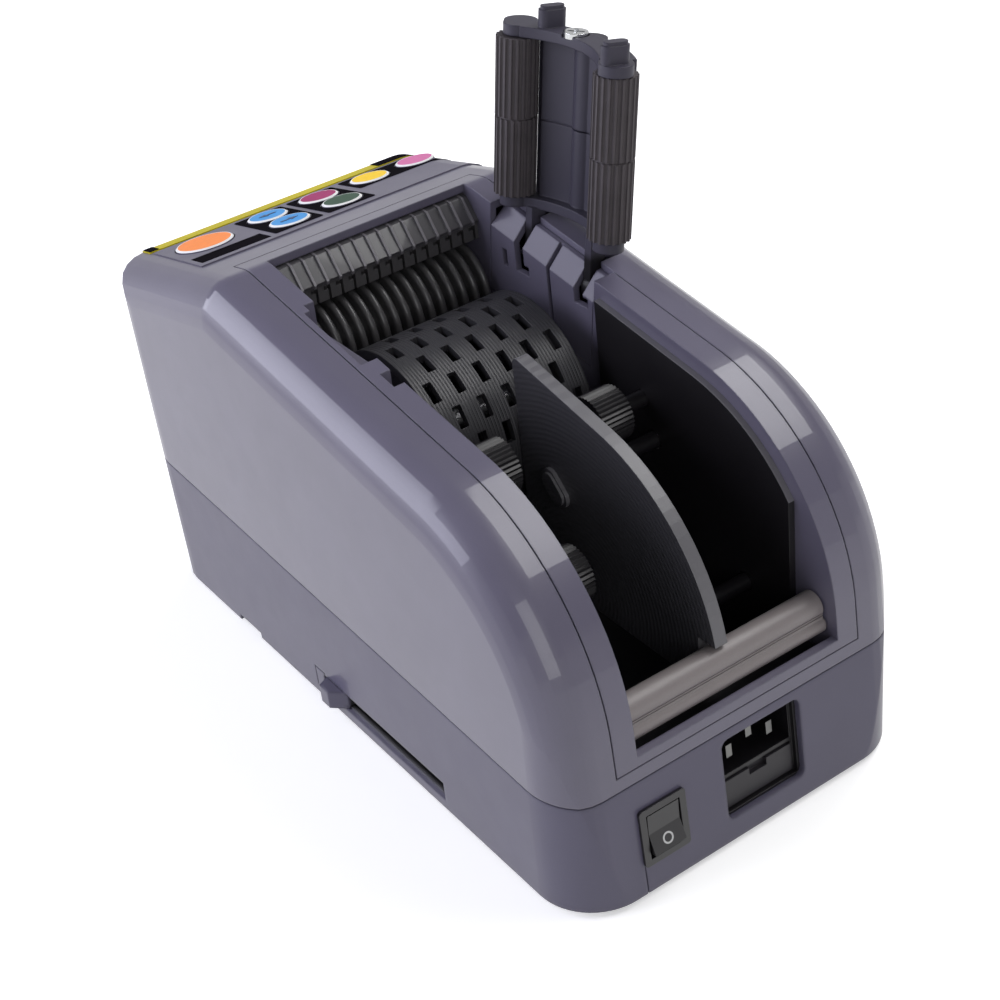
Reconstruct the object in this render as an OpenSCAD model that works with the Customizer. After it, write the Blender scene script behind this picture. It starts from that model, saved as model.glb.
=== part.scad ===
// Electric tape dispenser for desk use, modelled in millimetres.
// Frame: +Z up, origin under the middle of the case, tape outlet towards -Y,
// mains inlet towards +Y, lid hinge on the -X side of the tape well.

/* [Case] */
// Overall width of the case
case_w = 116; // [112:1:122]
// Radius of the rounded shoulders
shoulder_r = 12; // [9:0.5:12]
// Radius of the two rear corners seen from above
rear_corner_r = 18; // [14:1:22]
// Wall thickness of the moulded shells
wall = 2.5; // [2:0.1:3]
// Gap under the case that the feet fill
foot_gap = 2; // [1:0.5:3]
// Height of the case seam at the front
seam_front_z = 47; // [44:0.5:50]
// Height of the case seam at the rear
seam_rear_z = 37.5; // [37:0.5:40]
// Open seam line between two shells
seam_gap = 0.4; // [0.2:0.1:0.6]
// Distance from the origin to the upper front edge
front_reach = 111.8; // [110:0.2:114]
// Distance from the origin to the foot of the rear wall
rear_reach = 111.5; // [110:0.5:114]
// Height of the upper front edge
front_z = 112; // [110:0.5:114]
// Radius of the upper front edge
front_r = 3; // [2:0.5:5]
// Radius of the big curve behind the well
rear_r = 62; // [60:0.5:64]
// Radius of the crest where the panel meets the rims
crest_r = 14; // [12.5:0.5:16]
// Height of the crest's centre
crest_z = 112.2; // [111:0.2:114]

/* [Well] */
// Half width of the tape well
well_half = 34; // [33.5:0.25:34.5]
// Distance from the origin to the front edge of the well
well_front = 50; // [49:0.5:51]
// Width of the rim inside the groove line
rim_w = 7; // [6:0.5:8]
// Thickness of the frame's inner side walls
frame_wall = 2; // [1.6:0.1:2]
// Thickness of the black liner
liner_t = 2; // [1.5:0.1:2]
// Depth of the liner's edge below the rim
liner_drop = 4.5; // [4:0.5:8]
// Height of the trough floor
trough_z = 12; // [10:0.5:13]
// Height of the rear lip
lip_z = 45; // [44:0.25:45]
// Height of the fine line under the rear lip
lip_line_z = 42; // [41.5:0.25:42.5]

/* [Press lid] */
// Height of the hinge axis
hinge_z = 109.5; // [109:0.25:110]
// Distance of the hinge axis behind the well's side
hinge_set = 5.5; // [5:0.25:6]
// Angle from closed to open
lid_open = 98; // [92:1:100]
// Radius of the fluted rollers
press_r = 6.2; // [5.8:0.1:6.3]
// Length of the fluted rollers
press_l = 46; // [44:0.5:46.5]
// Number of flutes on a roller
flutes = 20; // [14:1:24]
// Distance of each roller from the middle of the lid
press_half = 22; // [21:0.5:22.5]
// Thickness of the lid's end plates
plate_t = 3; // [2.5:0.25:3.25]
// Diameter of the hinge pin
pin_d = 3; // [2.5:0.1:3.2]
// Width of a hinge arm
arm_w = 3; // [2.5:0.25:3.5]
// Length of the latch lugs
lug_l = 6.5; // [6:0.25:7]

/* [Feed train] */
// Radius of the slotted drum
drum_r = 29.5; // [28.5:0.25:29.75]
// Length of the slotted drum
drum_l = 49; // [46:1:52]
// Wall of the slotted drum
drum_t = 2.5; // [2:0.25:3]
// Number of slots round the drum
drum_slots = 10; // [8:1:12]
// Number of slot rows along the drum
drum_rows = 6; // [5:1:7]
// Radius of the ring roller
ring_r = 14.5; // [13.5:0.25:14.75]
// Number of rings on the feed roller
ring_count = 16; // [12:1:18]
// Diameter of the drum axle and the feed shaft
shaft_d = 8; // [7:0.5:9]
// Outer diameter of the bushes
bush_d = 12; // [11.5:0.5:13]
// Teeth of the drum gear
drum_teeth = 44; // [42:2:46]
// Face width of the gears
gear_w = 5; // [4:0.5:6]
// Radius of the feed motor
motor_r = 15; // [13:0.5:15]
// Length of the feed motor
motor_l = 46; // [40:1:50]

/* [Cutter] */
// Height of the tape slot's lower edge
slot_z = 99; // [98:0.5:100]
// Height of the tape slot
slot_h = 5.5; // [5:0.25:6]
// Half width of the tape slot
slot_half = 33; // [31:0.5:33.5]
// Throw of the cutter's crank, equal to the blade's stroke
crank_throw = 6; // [5:0.5:6]
// Radius of the cutter motor
cutter_motor_r = 14; // [12:0.5:14]
// Diameter of the crank pin
crank_pin_d = 4; // [3:0.25:4.5]
// Thickness of the moving blade
blade_t = 3; // [2.5:0.25:3]

/* [Roll guides] */
// Thickness of the divider plate
divider_t = 4; // [3:0.25:4.5]
// Radius of the divider's curve
divider_r = 56.5; // [54:0.5:57]
// Diameter of the divider's guide rods
rod_d = 5; // [4:0.25:6]
// Radius of the knurled wheels
wheel_r = 8; // [7:0.25:8.5]
// Length of the knurled wheels
wheel_l = 16; // [14:0.5:16.5]
// Knurls round a wheel
knurls = 36; // [28:1:40]
// Height of the rear bar
bar_h = 9; // [8.5:0.5:11]
// Diameter of the rear bar's end pins
bar_pin_d = 4; // [3:0.25:4.4]

/* [Rear wall] */
// Width of the mains inlet
inlet_w = 27; // [26:0.25:28]
// Height of the mains inlet
inlet_h = 26; // [25:0.25:27]
// Offset of the inlet's middle from the case's middle
inlet_x = -5.5; // [-8:0.5:-4]
// Height of the inlet's middle
inlet_z = 21.8; // [21:0.2:22.4]
// Width of the power switch
switch_w = 15; // [14:0.25:15.5]
// Height of the power switch
switch_h = 18; // [17:0.25:19]
// Offset of the switch's middle from the case's middle
switch_x = 29.2; // [27:0.2:30]
// Height of the switch's middle
switch_z = 20; // [19:0.5:21]
// Throw of the rocker
rocker_throw = 16; // [12:1:18]

/* [Side slider] */
// Height of the slider slot's middle
slider_z = 8.5; // [8.25:0.25:9.5]
// Height of the slider slot
slider_slot_h = 5; // [4:0.1:5]
// Travel of the slider
slider_travel = 50; // [40:1:52]
// Length of the slider's knob
knob_l = 11; // [8:0.5:12]

/* [Control panel] */
// Radius of the start button
start_r = 9; // [8:0.25:9.5]
// Radius of the six small buttons
key_r = 6.4; // [5.5:0.1:6.4]
// Height of a button above the panel
key_rise = 1; // [0.8:0.1:1.5]
// Thickness of the panel film
film_t = 0.4; // [0.3:0.05:0.6]

/* [Fits] */
// Running clearance of a pin or shaft in its bore, on the radius
run_gap = 0.05; // [0.03:0.01:0.08]
// Clearance between a sliding piece and its guide
slide_gap = 0.4; // [0.3:0.05:0.5]

/* [Hidden] */
$fn = 64;

case_grey = [0.30, 0.29, 0.34];
dark_grey = [0.16, 0.16, 0.18];
black = [0.05, 0.05, 0.06];
roller_grey = [0.30, 0.28, 0.27];
bar_grey = [0.45, 0.42, 0.42];
steel = [0.75, 0.76, 0.78];
brass = [0.72, 0.58, 0.30];
board_green = [0.08, 0.35, 0.20];

half_w = case_w / 2;
far = 300;
floor_top = foot_gap + wall;

// Side outline: sharp corner, inward direction per unit radius, radius and facets
low_z = -20;
low_r = 12.5;
front_low_y = -front_reach + 3.8 + low_r;
rear_low_y = rear_reach + 1.9 - low_r;
rear_y = rear_reach - 4 - rear_r;
rear_z = 48;
crest_y = -48;
outline = [[front_low_y, low_z, 0, 0, low_r, 12],
           [-front_reach, front_z, 1.024, -0.808, front_r, 32],
           [crest_y, crest_z, 0, 0, crest_r, 96],
           [rear_y, rear_z, 0, 0, rear_r, 96],
           [rear_low_y, low_z, 0, 0, low_r, 12]];

// Slopes of the panel and of the rims, from the outline's circles
crest_top_y = crest_y - 2.7;
panel_tilt = atan2(crest_z + crest_r - 0.2 - front_z, crest_top_y + front_reach);
wall_dy = rear_y - rear_low_y;
wall_dz = rear_z - low_z;
rear_tilt = atan2(wall_dz, wall_dy) - acos((low_r - rear_r) / norm([wall_dy, wall_dz]));
function rear_wall(z) = (rear_low_y * cos(rear_tilt) + low_z * sin(rear_tilt) + low_r - z * sin(rear_tilt))
    / cos(rear_tilt);
rim_dy = rear_y - crest_y;
rim_dz = rear_z - crest_z;
rim_tilt = atan2(rim_dz, rim_dy) + asin((rear_r - crest_r) / norm([rim_dy, rim_dz]));
function rim_top(y) = crest_z + crest_r / cos(rim_tilt) + (y - crest_y) * tan(rim_tilt);

// Well and lid
groove_half = well_half + rim_w;
frame_out = well_half + frame_wall;
liner_in = well_half - liner_t;
hinge_x = -well_half - hinge_set;
drum_y = -8.6;
press_reach = drum_r + press_r + 0.3;
lid_drop = 2.9;
press_z = hinge_z - lid_drop;
drum_z = press_z - sqrt(press_reach * press_reach - press_half * press_half);
near_plate_x = hinge_x + 15;
press_x = near_plate_x + plate_t + 0.5;
far_plate_x = press_x + press_l + 0.5;
arm_places = [-24, 4];
lug_places = [[-13.3, 33.7], [24, 26.2]];
lug_w = 4.2;
lug_h = 8;
slot_w = arm_w + 1.2;
cover_y0 = -36;
cover_y1 = 12;
cover_mid = (cover_y0 + cover_y1) / 2;
cover_l = (cover_y1 - cover_y0) / cos(rim_tilt);
skirt_h = 30;
cover_sink = 2;
cover_slope = 5.5;
screw_yz = [drum_y - 3.4, drum_z + 34.5];
press_axle_d = 3;
lid_rear = drum_y + press_half + press_r + 2.4;
trough_y = rear_reach - 61.5;
trough_r = 44;
ledge_z = 40;
ledge_y = trough_y + trough_r * 0.84;

// Gears, module 1 mm, on one plane beside the +X frame wall
gear_x = frame_out + 2.5;
mesh_gap = 0.125;
feed_teeth = drum_teeth / 2;
idler_teeth = 12;
motor_idler_teeth = 26;
pinion_teeth = 12;
motor_angle = -110;
feed_angle = 159.6;
idler_span = (drum_teeth + idler_teeth) / 2 + mesh_gap;
feed_span = idler_span + (idler_teeth + feed_teeth) / 2 + mesh_gap;
motor_idler_span = (drum_teeth + motor_idler_teeth) / 2 + mesh_gap;
motor_span = motor_idler_span + (motor_idler_teeth + pinion_teeth) / 2 + mesh_gap;
function round_drum(angle, span) = [drum_y + span * cos(angle), drum_z + span * sin(angle)];
feed_idler_at = round_drum(feed_angle, idler_span);
feed_y = round_drum(feed_angle, feed_span)[0];
feed_z = round_drum(feed_angle, feed_span)[1];
motor_idler_at = round_drum(motor_angle, motor_idler_span);
motor_at = round_drum(motor_angle, motor_span);
idler_axle_d = 4;
bush_l = 5;

// Turn of a gear that meshes with another, from tooth counts and the line of centres
function part_of_tooth(a) = a - floor(a);
function mesh_turn(line, turn, teeth, other) =
    line + 180 - (0.5 - part_of_tooth((line - turn) * teeth / 360)) * 360 / other;
feed_idler_turn = mesh_turn(feed_angle, 0, drum_teeth, idler_teeth);
feed_gear_turn = mesh_turn(feed_angle, feed_idler_turn, idler_teeth, feed_teeth);
motor_idler_turn = mesh_turn(motor_angle, 0, drum_teeth, motor_idler_teeth);
pinion_turn = mesh_turn(motor_angle, motor_idler_turn, motor_idler_teeth, pinion_teeth);

// Cutter, from front to rear along Y
frame_y = -front_reach + 19.8;
frame_t = 2;
blade_y = frame_y - 3 - blade_t;
disc_y = frame_y - 2.5;
disc_t = 2;
crank_z = 62;
pin_z = crank_z - crank_throw / 2;
pin_x = crank_throw * cos(30);
blade_top = slot_z + 1.5;
blade_half = slot_half - 1;
deck_y0 = frame_y + frame_t;
deck_y1 = feed_y - ring_r - 1.5;

// Roll guides
wheel_places = [[33, 88], [rear_reach - 49.5, 68]];
wheel_axle_d = 5;
wheel_in = liner_in - 1 - wheel_l;
divider_slide = 9;
inner_wheel_x = -divider_t / 2 - divider_slide - 2;
inner_wheel_l = 10;
rod_places = [[37.3, 76.5], [rear_reach - 37.5, 47]];
divider_y0 = lid_rear - 0.5;
divider_z0 = 42;
divider_step = trough_z + 48;
bar_y = rear_reach - 10;
bar_z = 47.5;

// Rear wall and slider
inlet_depth = 16;
knob_out = half_w + 3.5;
slider_y0 = -6;
slider_in = half_w - wall - 0.7;

// Panel places: across and along from the upper front edge
key_row_1 = 18.2;
key_row_2 = 32.3;
start_at = [33.4, 21];
key_places = [[10, key_row_1], [9.6, key_row_2], [-8.3, key_row_1], [-9, key_row_2],
              [-27.3, key_row_1], [-44.5, key_row_1]];
key_flange = 1;
key_travel = 0.8;
key_hole = 0.35;
key_lip = 0.55;
board_depth = wall + key_flange + key_travel + 1;
post_x = half_w - 8;
post_y = [-front_reach + 23.8, rear_reach - 23.5];
post_places = [for (y = post_y, s = [1, -1]) [s * post_x, y]];
board_y = -front_reach + 9.8;
post_top = 29.7;
post_r = 4.5;
screw_d = 3;

// Profiles are drawn flat as Y and Z and then stand across the case
module across(x0, x1) translate([x0, 0, 0]) rotate([90, 0, 90]) linear_extrude(x1 - x0) children();
module rod_x(at, d, x0, x1) translate([x0, at[0], at[1]]) rotate([0, 90, 0]) cylinder(d = d, h = x1 - x0);
module rod_y(x, z, d, y0, y1) translate([x, y1, z]) rotate([90, 0, 0]) cylinder(d = d, h = y1 - y0);
module box(x, y, z) translate([x[0], y[0], z[0]]) cube([x[1] - x[0], y[1] - y[0], z[1] - z[0]]);
module plate_y(y0, y1) translate([0, y1, 0]) rotate([90, 0, 0]) linear_extrude(y1 - y0) children();
module on_rear(x, z) translate([x, rear_wall(z), z]) rotate([rear_tilt, 0, 0]) children();
module on_panel(x, s, h) translate([0, -front_reach, front_z]) rotate([panel_tilt, 0, 0])
    translate([x, s, h]) children();

// Whole outer form of the case, drawn in by t on every side
module case_form(t, step) {
    sr = shoulder_r - t;
    hull() for (a = [0:step:90], c = outline) {
        inset = t + sr * (1 - sin(a));
        r = max(c[4] - inset, 0.05);
        reach = max(inset, c[4]);
        y = c[0] + c[2] * reach;
        z = c[1] + c[3] * reach;
        translate([0, y, z]) rotate([0, 90, 0])
            cylinder(r = r, h = 2 * (half_w - shoulder_r + sr * cos(a)), center = true, $fn = c[5]);
    }
}

// Case seen from above, with its two rear corners rounded
module plan(t) {
    r = rear_corner_r - t;
    cx = half_w - rear_corner_r;
    cy = rear_reach - rear_corner_r;
    translate([0, 0, -far / 2]) linear_extrude(2 * far) {
        translate([-half_w + t, -far]) square([case_w - 2 * t, far + cy]);
        translate([-cx, -far]) square([2 * cx, far + rear_reach - t]);
        for (s = [-1, 1]) translate([s * cx, cy]) circle(r = r);
    }
}

module seam_block(up, gap) {
    tilt = atan2(seam_rear_z - seam_front_z, 220);
    translate([0, -110, seam_front_z + gap]) rotate([tilt, 0, 0])
        translate([-far / 2, -far / 2, up ? 0 : -far]) cube([far, 2 * far, far]);
}

module post_holes(d) for (p = post_places) translate([p[0], p[1], foot_gap - 1]) cylinder(d = d, h = 60);

module base_shell() color(case_grey) difference() {
    union() {
        difference() {
            intersection() {
                case_form(0, 15);
                plan(0);
                seam_block(false, 0);
                box([-far, far], [-far, far], [foot_gap, far]);
            }
            intersection() {
                case_form(wall, 45);
                plan(wall);
                box([-far, far], [-far, far], [floor_top, far]);
            }
        }
        for (p = post_places) translate([p[0], p[1], floor_top - 0.5])
            cylinder(r = post_r, h = post_top - floor_top + 0.5);
        for (s = [-1, 1]) translate([s > 0 ? well_half : -frame_out, -60, floor_top - 0.5])
            cube([frame_wall, rear_reach + 38.5, 14 - floor_top + 0.5]);
        for (x = [-30, 30], y = [4, 36]) translate([x, board_y + y, floor_top - 0.5]) cylinder(r = 3, h = 5);
    }
    post_holes(screw_d + 0.4);
    for (p = post_places) translate([p[0], p[1], foot_gap - 0.1]) cylinder(r = 3.4, h = 2.1);
    on_rear(inlet_x, inlet_z) plate_y(-wall - 2, 10) rounded(inlet_w, inlet_h, 2.5);
    on_rear(switch_x, switch_z) plate_y(-wall - 2, 10) square([switch_w - 2, switch_h - 2], center = true);
    slider_cut();
    on_rear(switch_x + switch_w / 2 - 0.4, 0) box([-0.2, 0.2], [-0.5, 5], [0, switch_z - switch_h / 2]);
    box([half_w - wall - 1.5, half_w + 1], [-66, -53], [foot_gap - 1, foot_gap + wall - 0.6]);
}

// Rectangle with round corners, built from squares and circles
module rounded(w, h, r) {
    square([w - 2 * r, h], center = true);
    square([w, h - 2 * r], center = true);
    for (x = [-1, 1], y = [-1, 1]) translate([x * (w / 2 - r), y * (h / 2 - r)]) circle(r = r);
}

module slider_cut() {
    y0 = slider_y0 - knob_l / 2 - 1;
    y1 = slider_y0 + slider_travel + knob_l / 2 + 1;
    box([half_w - wall - 2, half_w + 5], [y0, y1],
        [slider_z - slider_slot_h / 2, slider_z + slider_slot_h / 2]);
    box([half_w - 1.2, half_w + 5], [y0, y1], [slider_z - 3.2, slider_z + 3.2]);
    box([half_w - 0.4, half_w + 5], [y0 - 5, y0 - 4.6], [slider_z - 3.2, slider_z + 4]);
    box([half_w - 0.4, half_w + 5], [y0 - 5, y0 + 1], [slider_z + 3.6, slider_z + 4]);
}

// Plan of the rim inside the groove line, down to the fine line under the rear lip
module frame_plan(gap) translate([-groove_half - gap, -well_front - rim_w - gap, lip_line_z - gap])
    cube([2 * (groove_half + gap), far, far]);

// Solid block under the +X rim that holds the two latch pockets
latch_ends = [-28, 22];
module latch_band(low, high) polygon([for (c = [[0, low], [1, low], [1, high], [0, high]])
    [latch_ends[c[0]], rim_top(latch_ends[c[0]]) - c[1]]]);
module latch_block() {
    across(well_half, groove_half - 1) latch_band(11, 1);
    across(well_half, gear_x - 0.5) latch_band(18.5, 10);
}
module latch_pockets() {
    box([well_half - 1, well_half + 5], [-22, 6], [rim_top(-22) - 8, far]);
    for (p = lug_places) lug_at(p)
        box([well_half - 1, gear_x - 1.3], [-lug_w / 2 - 1.2, lug_w / 2 + 1.2], [-lug_h / 2 - 1.2, far]);
}

module shell(step) difference() {
    intersection() {
        case_form(0, step);
        plan(0);
        seam_block(true, seam_gap);
    }
    intersection() {
        case_form(wall, 45);
        plan(wall);
    }
}

module arm_slots() for (y = arm_places)
    box([hinge_x - 8, -well_half + 1], [y - slot_w / 2, y + slot_w / 2], [hinge_z - 3.6, far]);

module upper_cover() color(case_grey) difference() {
    union() {
        shell(15);
        for (p = post_places) translate([p[0], p[1], post_top + 0.3]) {
            cylinder(r = post_r, h = 30);
            translate([p[0] > 0 ? 0 : 1 - half_w - p[0], -1, 20]) cube([half_w - 1 - abs(p[0]), 2, 10]);
        }
    }
    frame_plan(seam_gap / 2);
    post_holes(screw_d + 0.04);
    arm_slots();
    for (k = key_places) on_panel(k[0], k[1], 0) {
        translate([0, 0, -wall - 4]) cylinder(r = key_r + key_hole, h = 10);
        translate([0, 0, -wall - 5]) cylinder(r = key_r + key_lip + 0.6, h = 5);
    }
    on_panel(start_at[0], start_at[1], -wall - 2) cylinder(r = start_r + key_hole, h = 6);
    mouth_hole();
}

module mouth_hole() box([-slot_half - 3, slot_half + 3], [-far, -front_reach + 15],
                        [slot_z - 5, slot_z + slot_h + 3]);

module well_frame() color(case_grey) difference() {
    union() {
        intersection() {
            shell(30);
            frame_plan(-seam_gap / 2);
        }
        intersection() {
            case_form(1, 45);
            box([-far, far], [feed_y - ring_r - 0.5, rear_reach - 6], [14, far]);
            for (s = [-1, 1]) box(s > 0 ? [well_half, frame_out] : [-frame_out, -well_half],
                                  [-far, far], [-far, far]);
        }
        latch_block();
    }
    on_panel(-far / 2, 0, -wall - 0.2)
        cube([far, (front_reach - well_front - rim_w) / cos(panel_tilt), far]);
    box([-well_half, well_half], [-well_front, far], [lip_z, far]);
    box([-frame_out - 1, frame_out + 1], [ledge_y, far], [0, ledge_z - liner_t]);
    cover_place() translate([0, 0, -skirt_h - 0.2])
        box([-groove_half - 1, -well_half + 0.5], [-cover_l / 2 - 0.2, cover_l / 2 + 0.2], [0, far]);
    latch_pockets();
    frame_bores();
}

// Middle of the hinge cover on the sloped rim
module cover_place() translate([0, cover_mid, rim_top(cover_mid)]) rotate([rim_tilt, 0, 0]) children();

// Place of a latch lug when the lid is closed
module lug_at(p) translate([0, drum_y + p[0], drum_z + p[1]]) children();

module frame_bores() {
    for (s = [-1, 1]) {
        x0 = s > 0 ? well_half - 1 : -frame_out - 1;
        rod_x([drum_y, drum_z], bush_d, x0, x0 + 4);
        rod_x([feed_y, feed_z], bush_d, x0, x0 + 4);
        for (w = wheel_places) if (s > 0 || w == wheel_places[0]) rod_x(w, wheel_axle_d + 0.04, x0, x0 + 4);
        if (s < 0) for (w = rod_places) rod_x(w, rod_d + 2 * run_gap, x0, x0 + 4);
        rod_x([bar_y, bar_z], bar_pin_d + 2 * run_gap, x0, x0 + 4);
    }
    for (p = [feed_idler_at, motor_idler_at]) rod_x(p, idler_axle_d + 0.04, well_half - 1, frame_out + 1);
    rod_x(motor_at, 9, well_half - 1, frame_out + 1);
}

module well_tub() color(black) difference() {
    union() {
        across(liner_in, well_half) liner_side(lid_rear);
        across(-well_half, -liner_in) liner_side(cover_y1 + 2);
        across(-liner_in - 0.5, liner_in + 0.5) trough();
    }
    for (w = wheel_places) rod_x(w, wheel_axle_d + 0.2, w == wheel_places[0] ? -far : 0, far);
    for (w = rod_places) rod_x(w, rod_d + 2 * slide_gap, -far, 0);
}

module liner_side(y0) intersection() {
    hull() {
        translate([rear_y, rear_z]) circle(r = rear_r - liner_drop, $fn = 72);
        translate([y0, rim_top(y0) - liner_drop - 2]) circle(r = 2, $fn = 16);
        translate([y0, trough_z + 2]) circle(r = 2, $fn = 16);
    }
    translate([y0, trough_z]) square([bar_y - 9.5 - y0, far]);
}

// Round trough with a front wall and a ledge under the rear bar
module trough() {
    intersection() {
        translate([trough_y, trough_z + trough_r]) difference() {
            circle(r = trough_r);
            circle(r = trough_r - liner_t);
        }
        translate([lid_rear, 0]) square([far, ledge_z]);
    }
    translate([lid_rear, trough_z + 6]) square([liner_t, 40]);
    translate([ledge_y, ledge_z - liner_t]) square([bar_y + 2 - ledge_y, liner_t]);
}

module hinge_cover() color(case_grey) difference() {
    union() {
        cover_place() rotate([90, 0, 0]) linear_extrude(cover_l, center = true) cover_section();
        cover_place() for (s = [-1, 1]) translate([0, s * (cover_l / 2 - 1.5), 0]) rotate([90, 0, 0])
            linear_extrude(3, center = true) intersection() {
                cover_outer();
                translate([-groove_half, -20]) square([rim_w, far]);
            }
    }
    arm_slots();
    rod_y(hinge_x, hinge_z, pin_d + 0.04, cover_y0 - 2, cover_y1 + 2);
    for (y = arm_places) box([-frame_out - 1, -well_half + 1], [y + slot_w / 2 - 0.1, y + slot_w / 2 + 2.2],
                             [hinge_z - 3.6, hinge_z - 0.6]);
    box([-groove_half + 1, -well_half + 1], [cover_mid + 1.2, cover_mid + 2.8], [hinge_z - 17, far]);
    box([-frame_out - 1, -well_half + 1], [cover_y0 + 3.4, cover_y0 + 5.6], [hinge_z - 4, hinge_z + 1.5]);
}

// Sunk top strip, sloped facet and inner wall of the hinge cover
module cover_outer() polygon([[-groove_half, -far], [-groove_half, -cover_sink],
    [-well_half - cover_slope, -cover_sink], [-well_half, -cover_sink - cover_slope],
    [-well_half, -skirt_h], [-frame_out, -skirt_h], [-frame_out, -far]]);

module cover_section() difference() {
    intersection() {
        cover_outer();
        translate([-groove_half, -skirt_h]) square([rim_w, far]);
    }
    translate([-frame_wall, -frame_wall]) polygon([[-groove_half - 1, -far], [-groove_half - 1, -cover_sink],
        [-well_half - cover_slope + frame_wall * 0.59, -cover_sink],
        [-well_half, -cover_sink - cover_slope + frame_wall * 0.59], [-well_half, -far]]);
}

module hinge_pin() color(steel) rod_y(hinge_x, hinge_z, pin_d, cover_y0 + 0.6, cover_y1 - 0.6);

// Closed lid pieces turn to the open pose that the part rests in
module opened() translate([hinge_x, 0, hinge_z]) rotate([0, -lid_open, 0])
    translate([-hinge_x, 0, -hinge_z]) children();

press_spread = atan(press_half / (press_z - drum_z));
function press_at(side) = [drum_y + side * press_half, press_z];

// Ring sector round the drum, between two radii over the press rollers, up to an angle each way
module sector(r0, r1, half) translate([drum_y, drum_z]) intersection() {
    difference() {
        circle(r = press_reach + r1);
        circle(r = press_reach + r0);
    }
    polygon([[0, 0], far * [-sin(half), cos(half)], far * [sin(half), cos(half)]]);
}

// Arched end plates, each with a round end on each roller
module near_arch() {
    sector(-2.5, 3, press_spread);
    for (s = [-1, 1]) translate(press_at(s)) circle(r = press_r - 1.8);
}
module far_arch() {
    sector(-4.5, 2.5, press_spread - 3);
    translate(press_at(-1) + [-1.4, 2]) circle(r = press_r - 1.4);
    translate(press_at(1) + [1.8, -1.6]) circle(r = press_r - 1.4);
    for (s = [-1, 1]) translate(press_at(s)) circle(r = press_r - 2);
}

// Curved back between the rollers, with a ridge, two fine ribs and wings behind the rollers
module spine() {
    sector(0.5, 3.6, press_spread - 11.7);
    sector(3.4, 6, press_spread - 8.2);
    at_turn(-4) translate([0, press_reach + 3.7]) circle(r = 4.5);
    for (a = [13, 17]) at_turn(a) translate([-0.6, press_reach - 0.2]) square([1.2, 2]);
}
module at_turn(a) translate([drum_y, drum_z]) rotate(-a) children();

spine_x0 = near_plate_x + plate_t - 0.5;
module press_lid() color(case_grey) opened() difference() {
    union() {
        across(near_plate_x, near_plate_x + plate_t) near_arch();
        across(far_plate_x, far_plate_x + plate_t) far_arch();
        across(spine_x0, far_plate_x + plate_t / 2) spine();
        for (p = lug_places) lug_at(p) lug();
        for (y = arm_places) arm(y);
    }
    for (y = arm_places) rod_y(hinge_x, hinge_z, pin_d + 2 * run_gap, y - arm_w, y + arm_w);
    for (s = [-1, 1]) rod_x(press_at(s), press_axle_d + 0.04, near_plate_x + 1, far_plate_x + plate_t - 1);
    rod_x(screw_yz, screw_d + 0.04, far_plate_x - 1, far_plate_x + plate_t + 1);
    rod_x(screw_yz, screw_head + 0.6, far_plate_x + plate_t - 0.8, far_plate_x + plate_t + 1);
    for (x = [[0.18, 0.35], [0.45, 0.66]]) across(spine_x0 + x[0] * press_l, spine_x0 + x[1] * press_l)
        at_turn(7) translate([-1.2, press_reach - 2]) square([2.4, 5]);
    across(spine_x0 + press_l / 2, spine_x0 + press_l / 2 + 0.4) sector(-2, 0.9, 26);
}

// Latch lug: a round-ended block with a smaller crown
module lug() for (c = [[0, -0.5, lug_l - 1], [0.5, 0, lug_l]])
    across(far_plate_x + plate_t + c[1], far_plate_x + plate_t - 0.5 + c[2]) rotate(-12)
        rounded(lug_w - 2 * c[0], lug_h - 2 * c[0], lug_w / 2 - c[0] - 0.05);

module arm(y) translate([0, y + arm_w / 2, 0]) rotate([90, 0, 0]) linear_extrude(arm_w) {
    translate([hinge_x, hinge_z]) circle(r = pin_d / 2 + 1.8);
    translate([hinge_x, hinge_z - 2.5]) square([near_plate_x - hinge_x + 0.5, 5]);
}

screw_head = 7;
module lid_screw() color(steel) opened() {
    at = screw_yz;
    rod_x(at, screw_d, far_plate_x - 0.5, far_plate_x + plate_t);
    difference() {
        rod_x(at, screw_head, far_plate_x + plate_t - 0.8, far_plate_x + plate_t + 0.8);
        for (a = [0, 90]) translate([far_plate_x + plate_t, at[0], at[1]]) rotate([a + 45, 0, 0])
            translate([0, -2.4, -0.5]) cube([2, 4.8, 1]);
    }
}

module press_axles() color(steel) opened() for (s = [-1, 1])
    rod_x(press_at(s), press_axle_d, near_plate_x + 1.5, far_plate_x + plate_t - 1.5);

// Fluted roller in two halves, the second turned by half a flute, on a plain core
module press_roller(side) color(roller_grey) opened() difference() {
    half_l = press_l / 2 - 0.25;
    union() {
        for (k = [0, 1]) across(press_x + k * (half_l + 0.5), press_x + k * (half_l + 0.5) + half_l)
            translate(press_at(side)) difference() {
                circle(r = press_r);
                for (j = [0:flutes - 1]) rotate((j + k / 2) * 360 / flutes) translate([press_r, 0])
                    circle(r = 0.65, $fn = 16);
            }
        rod_x(press_at(side), 2 * press_r - 1.6, press_x + 1, press_x + press_l - 1);
    }
    rod_x(press_at(side), press_axle_d + 2 * run_gap, press_x - 1, press_x + press_l + 1);
}
module press_roller_front() press_roller(-1);
module press_roller_rear() press_roller(1);

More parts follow.
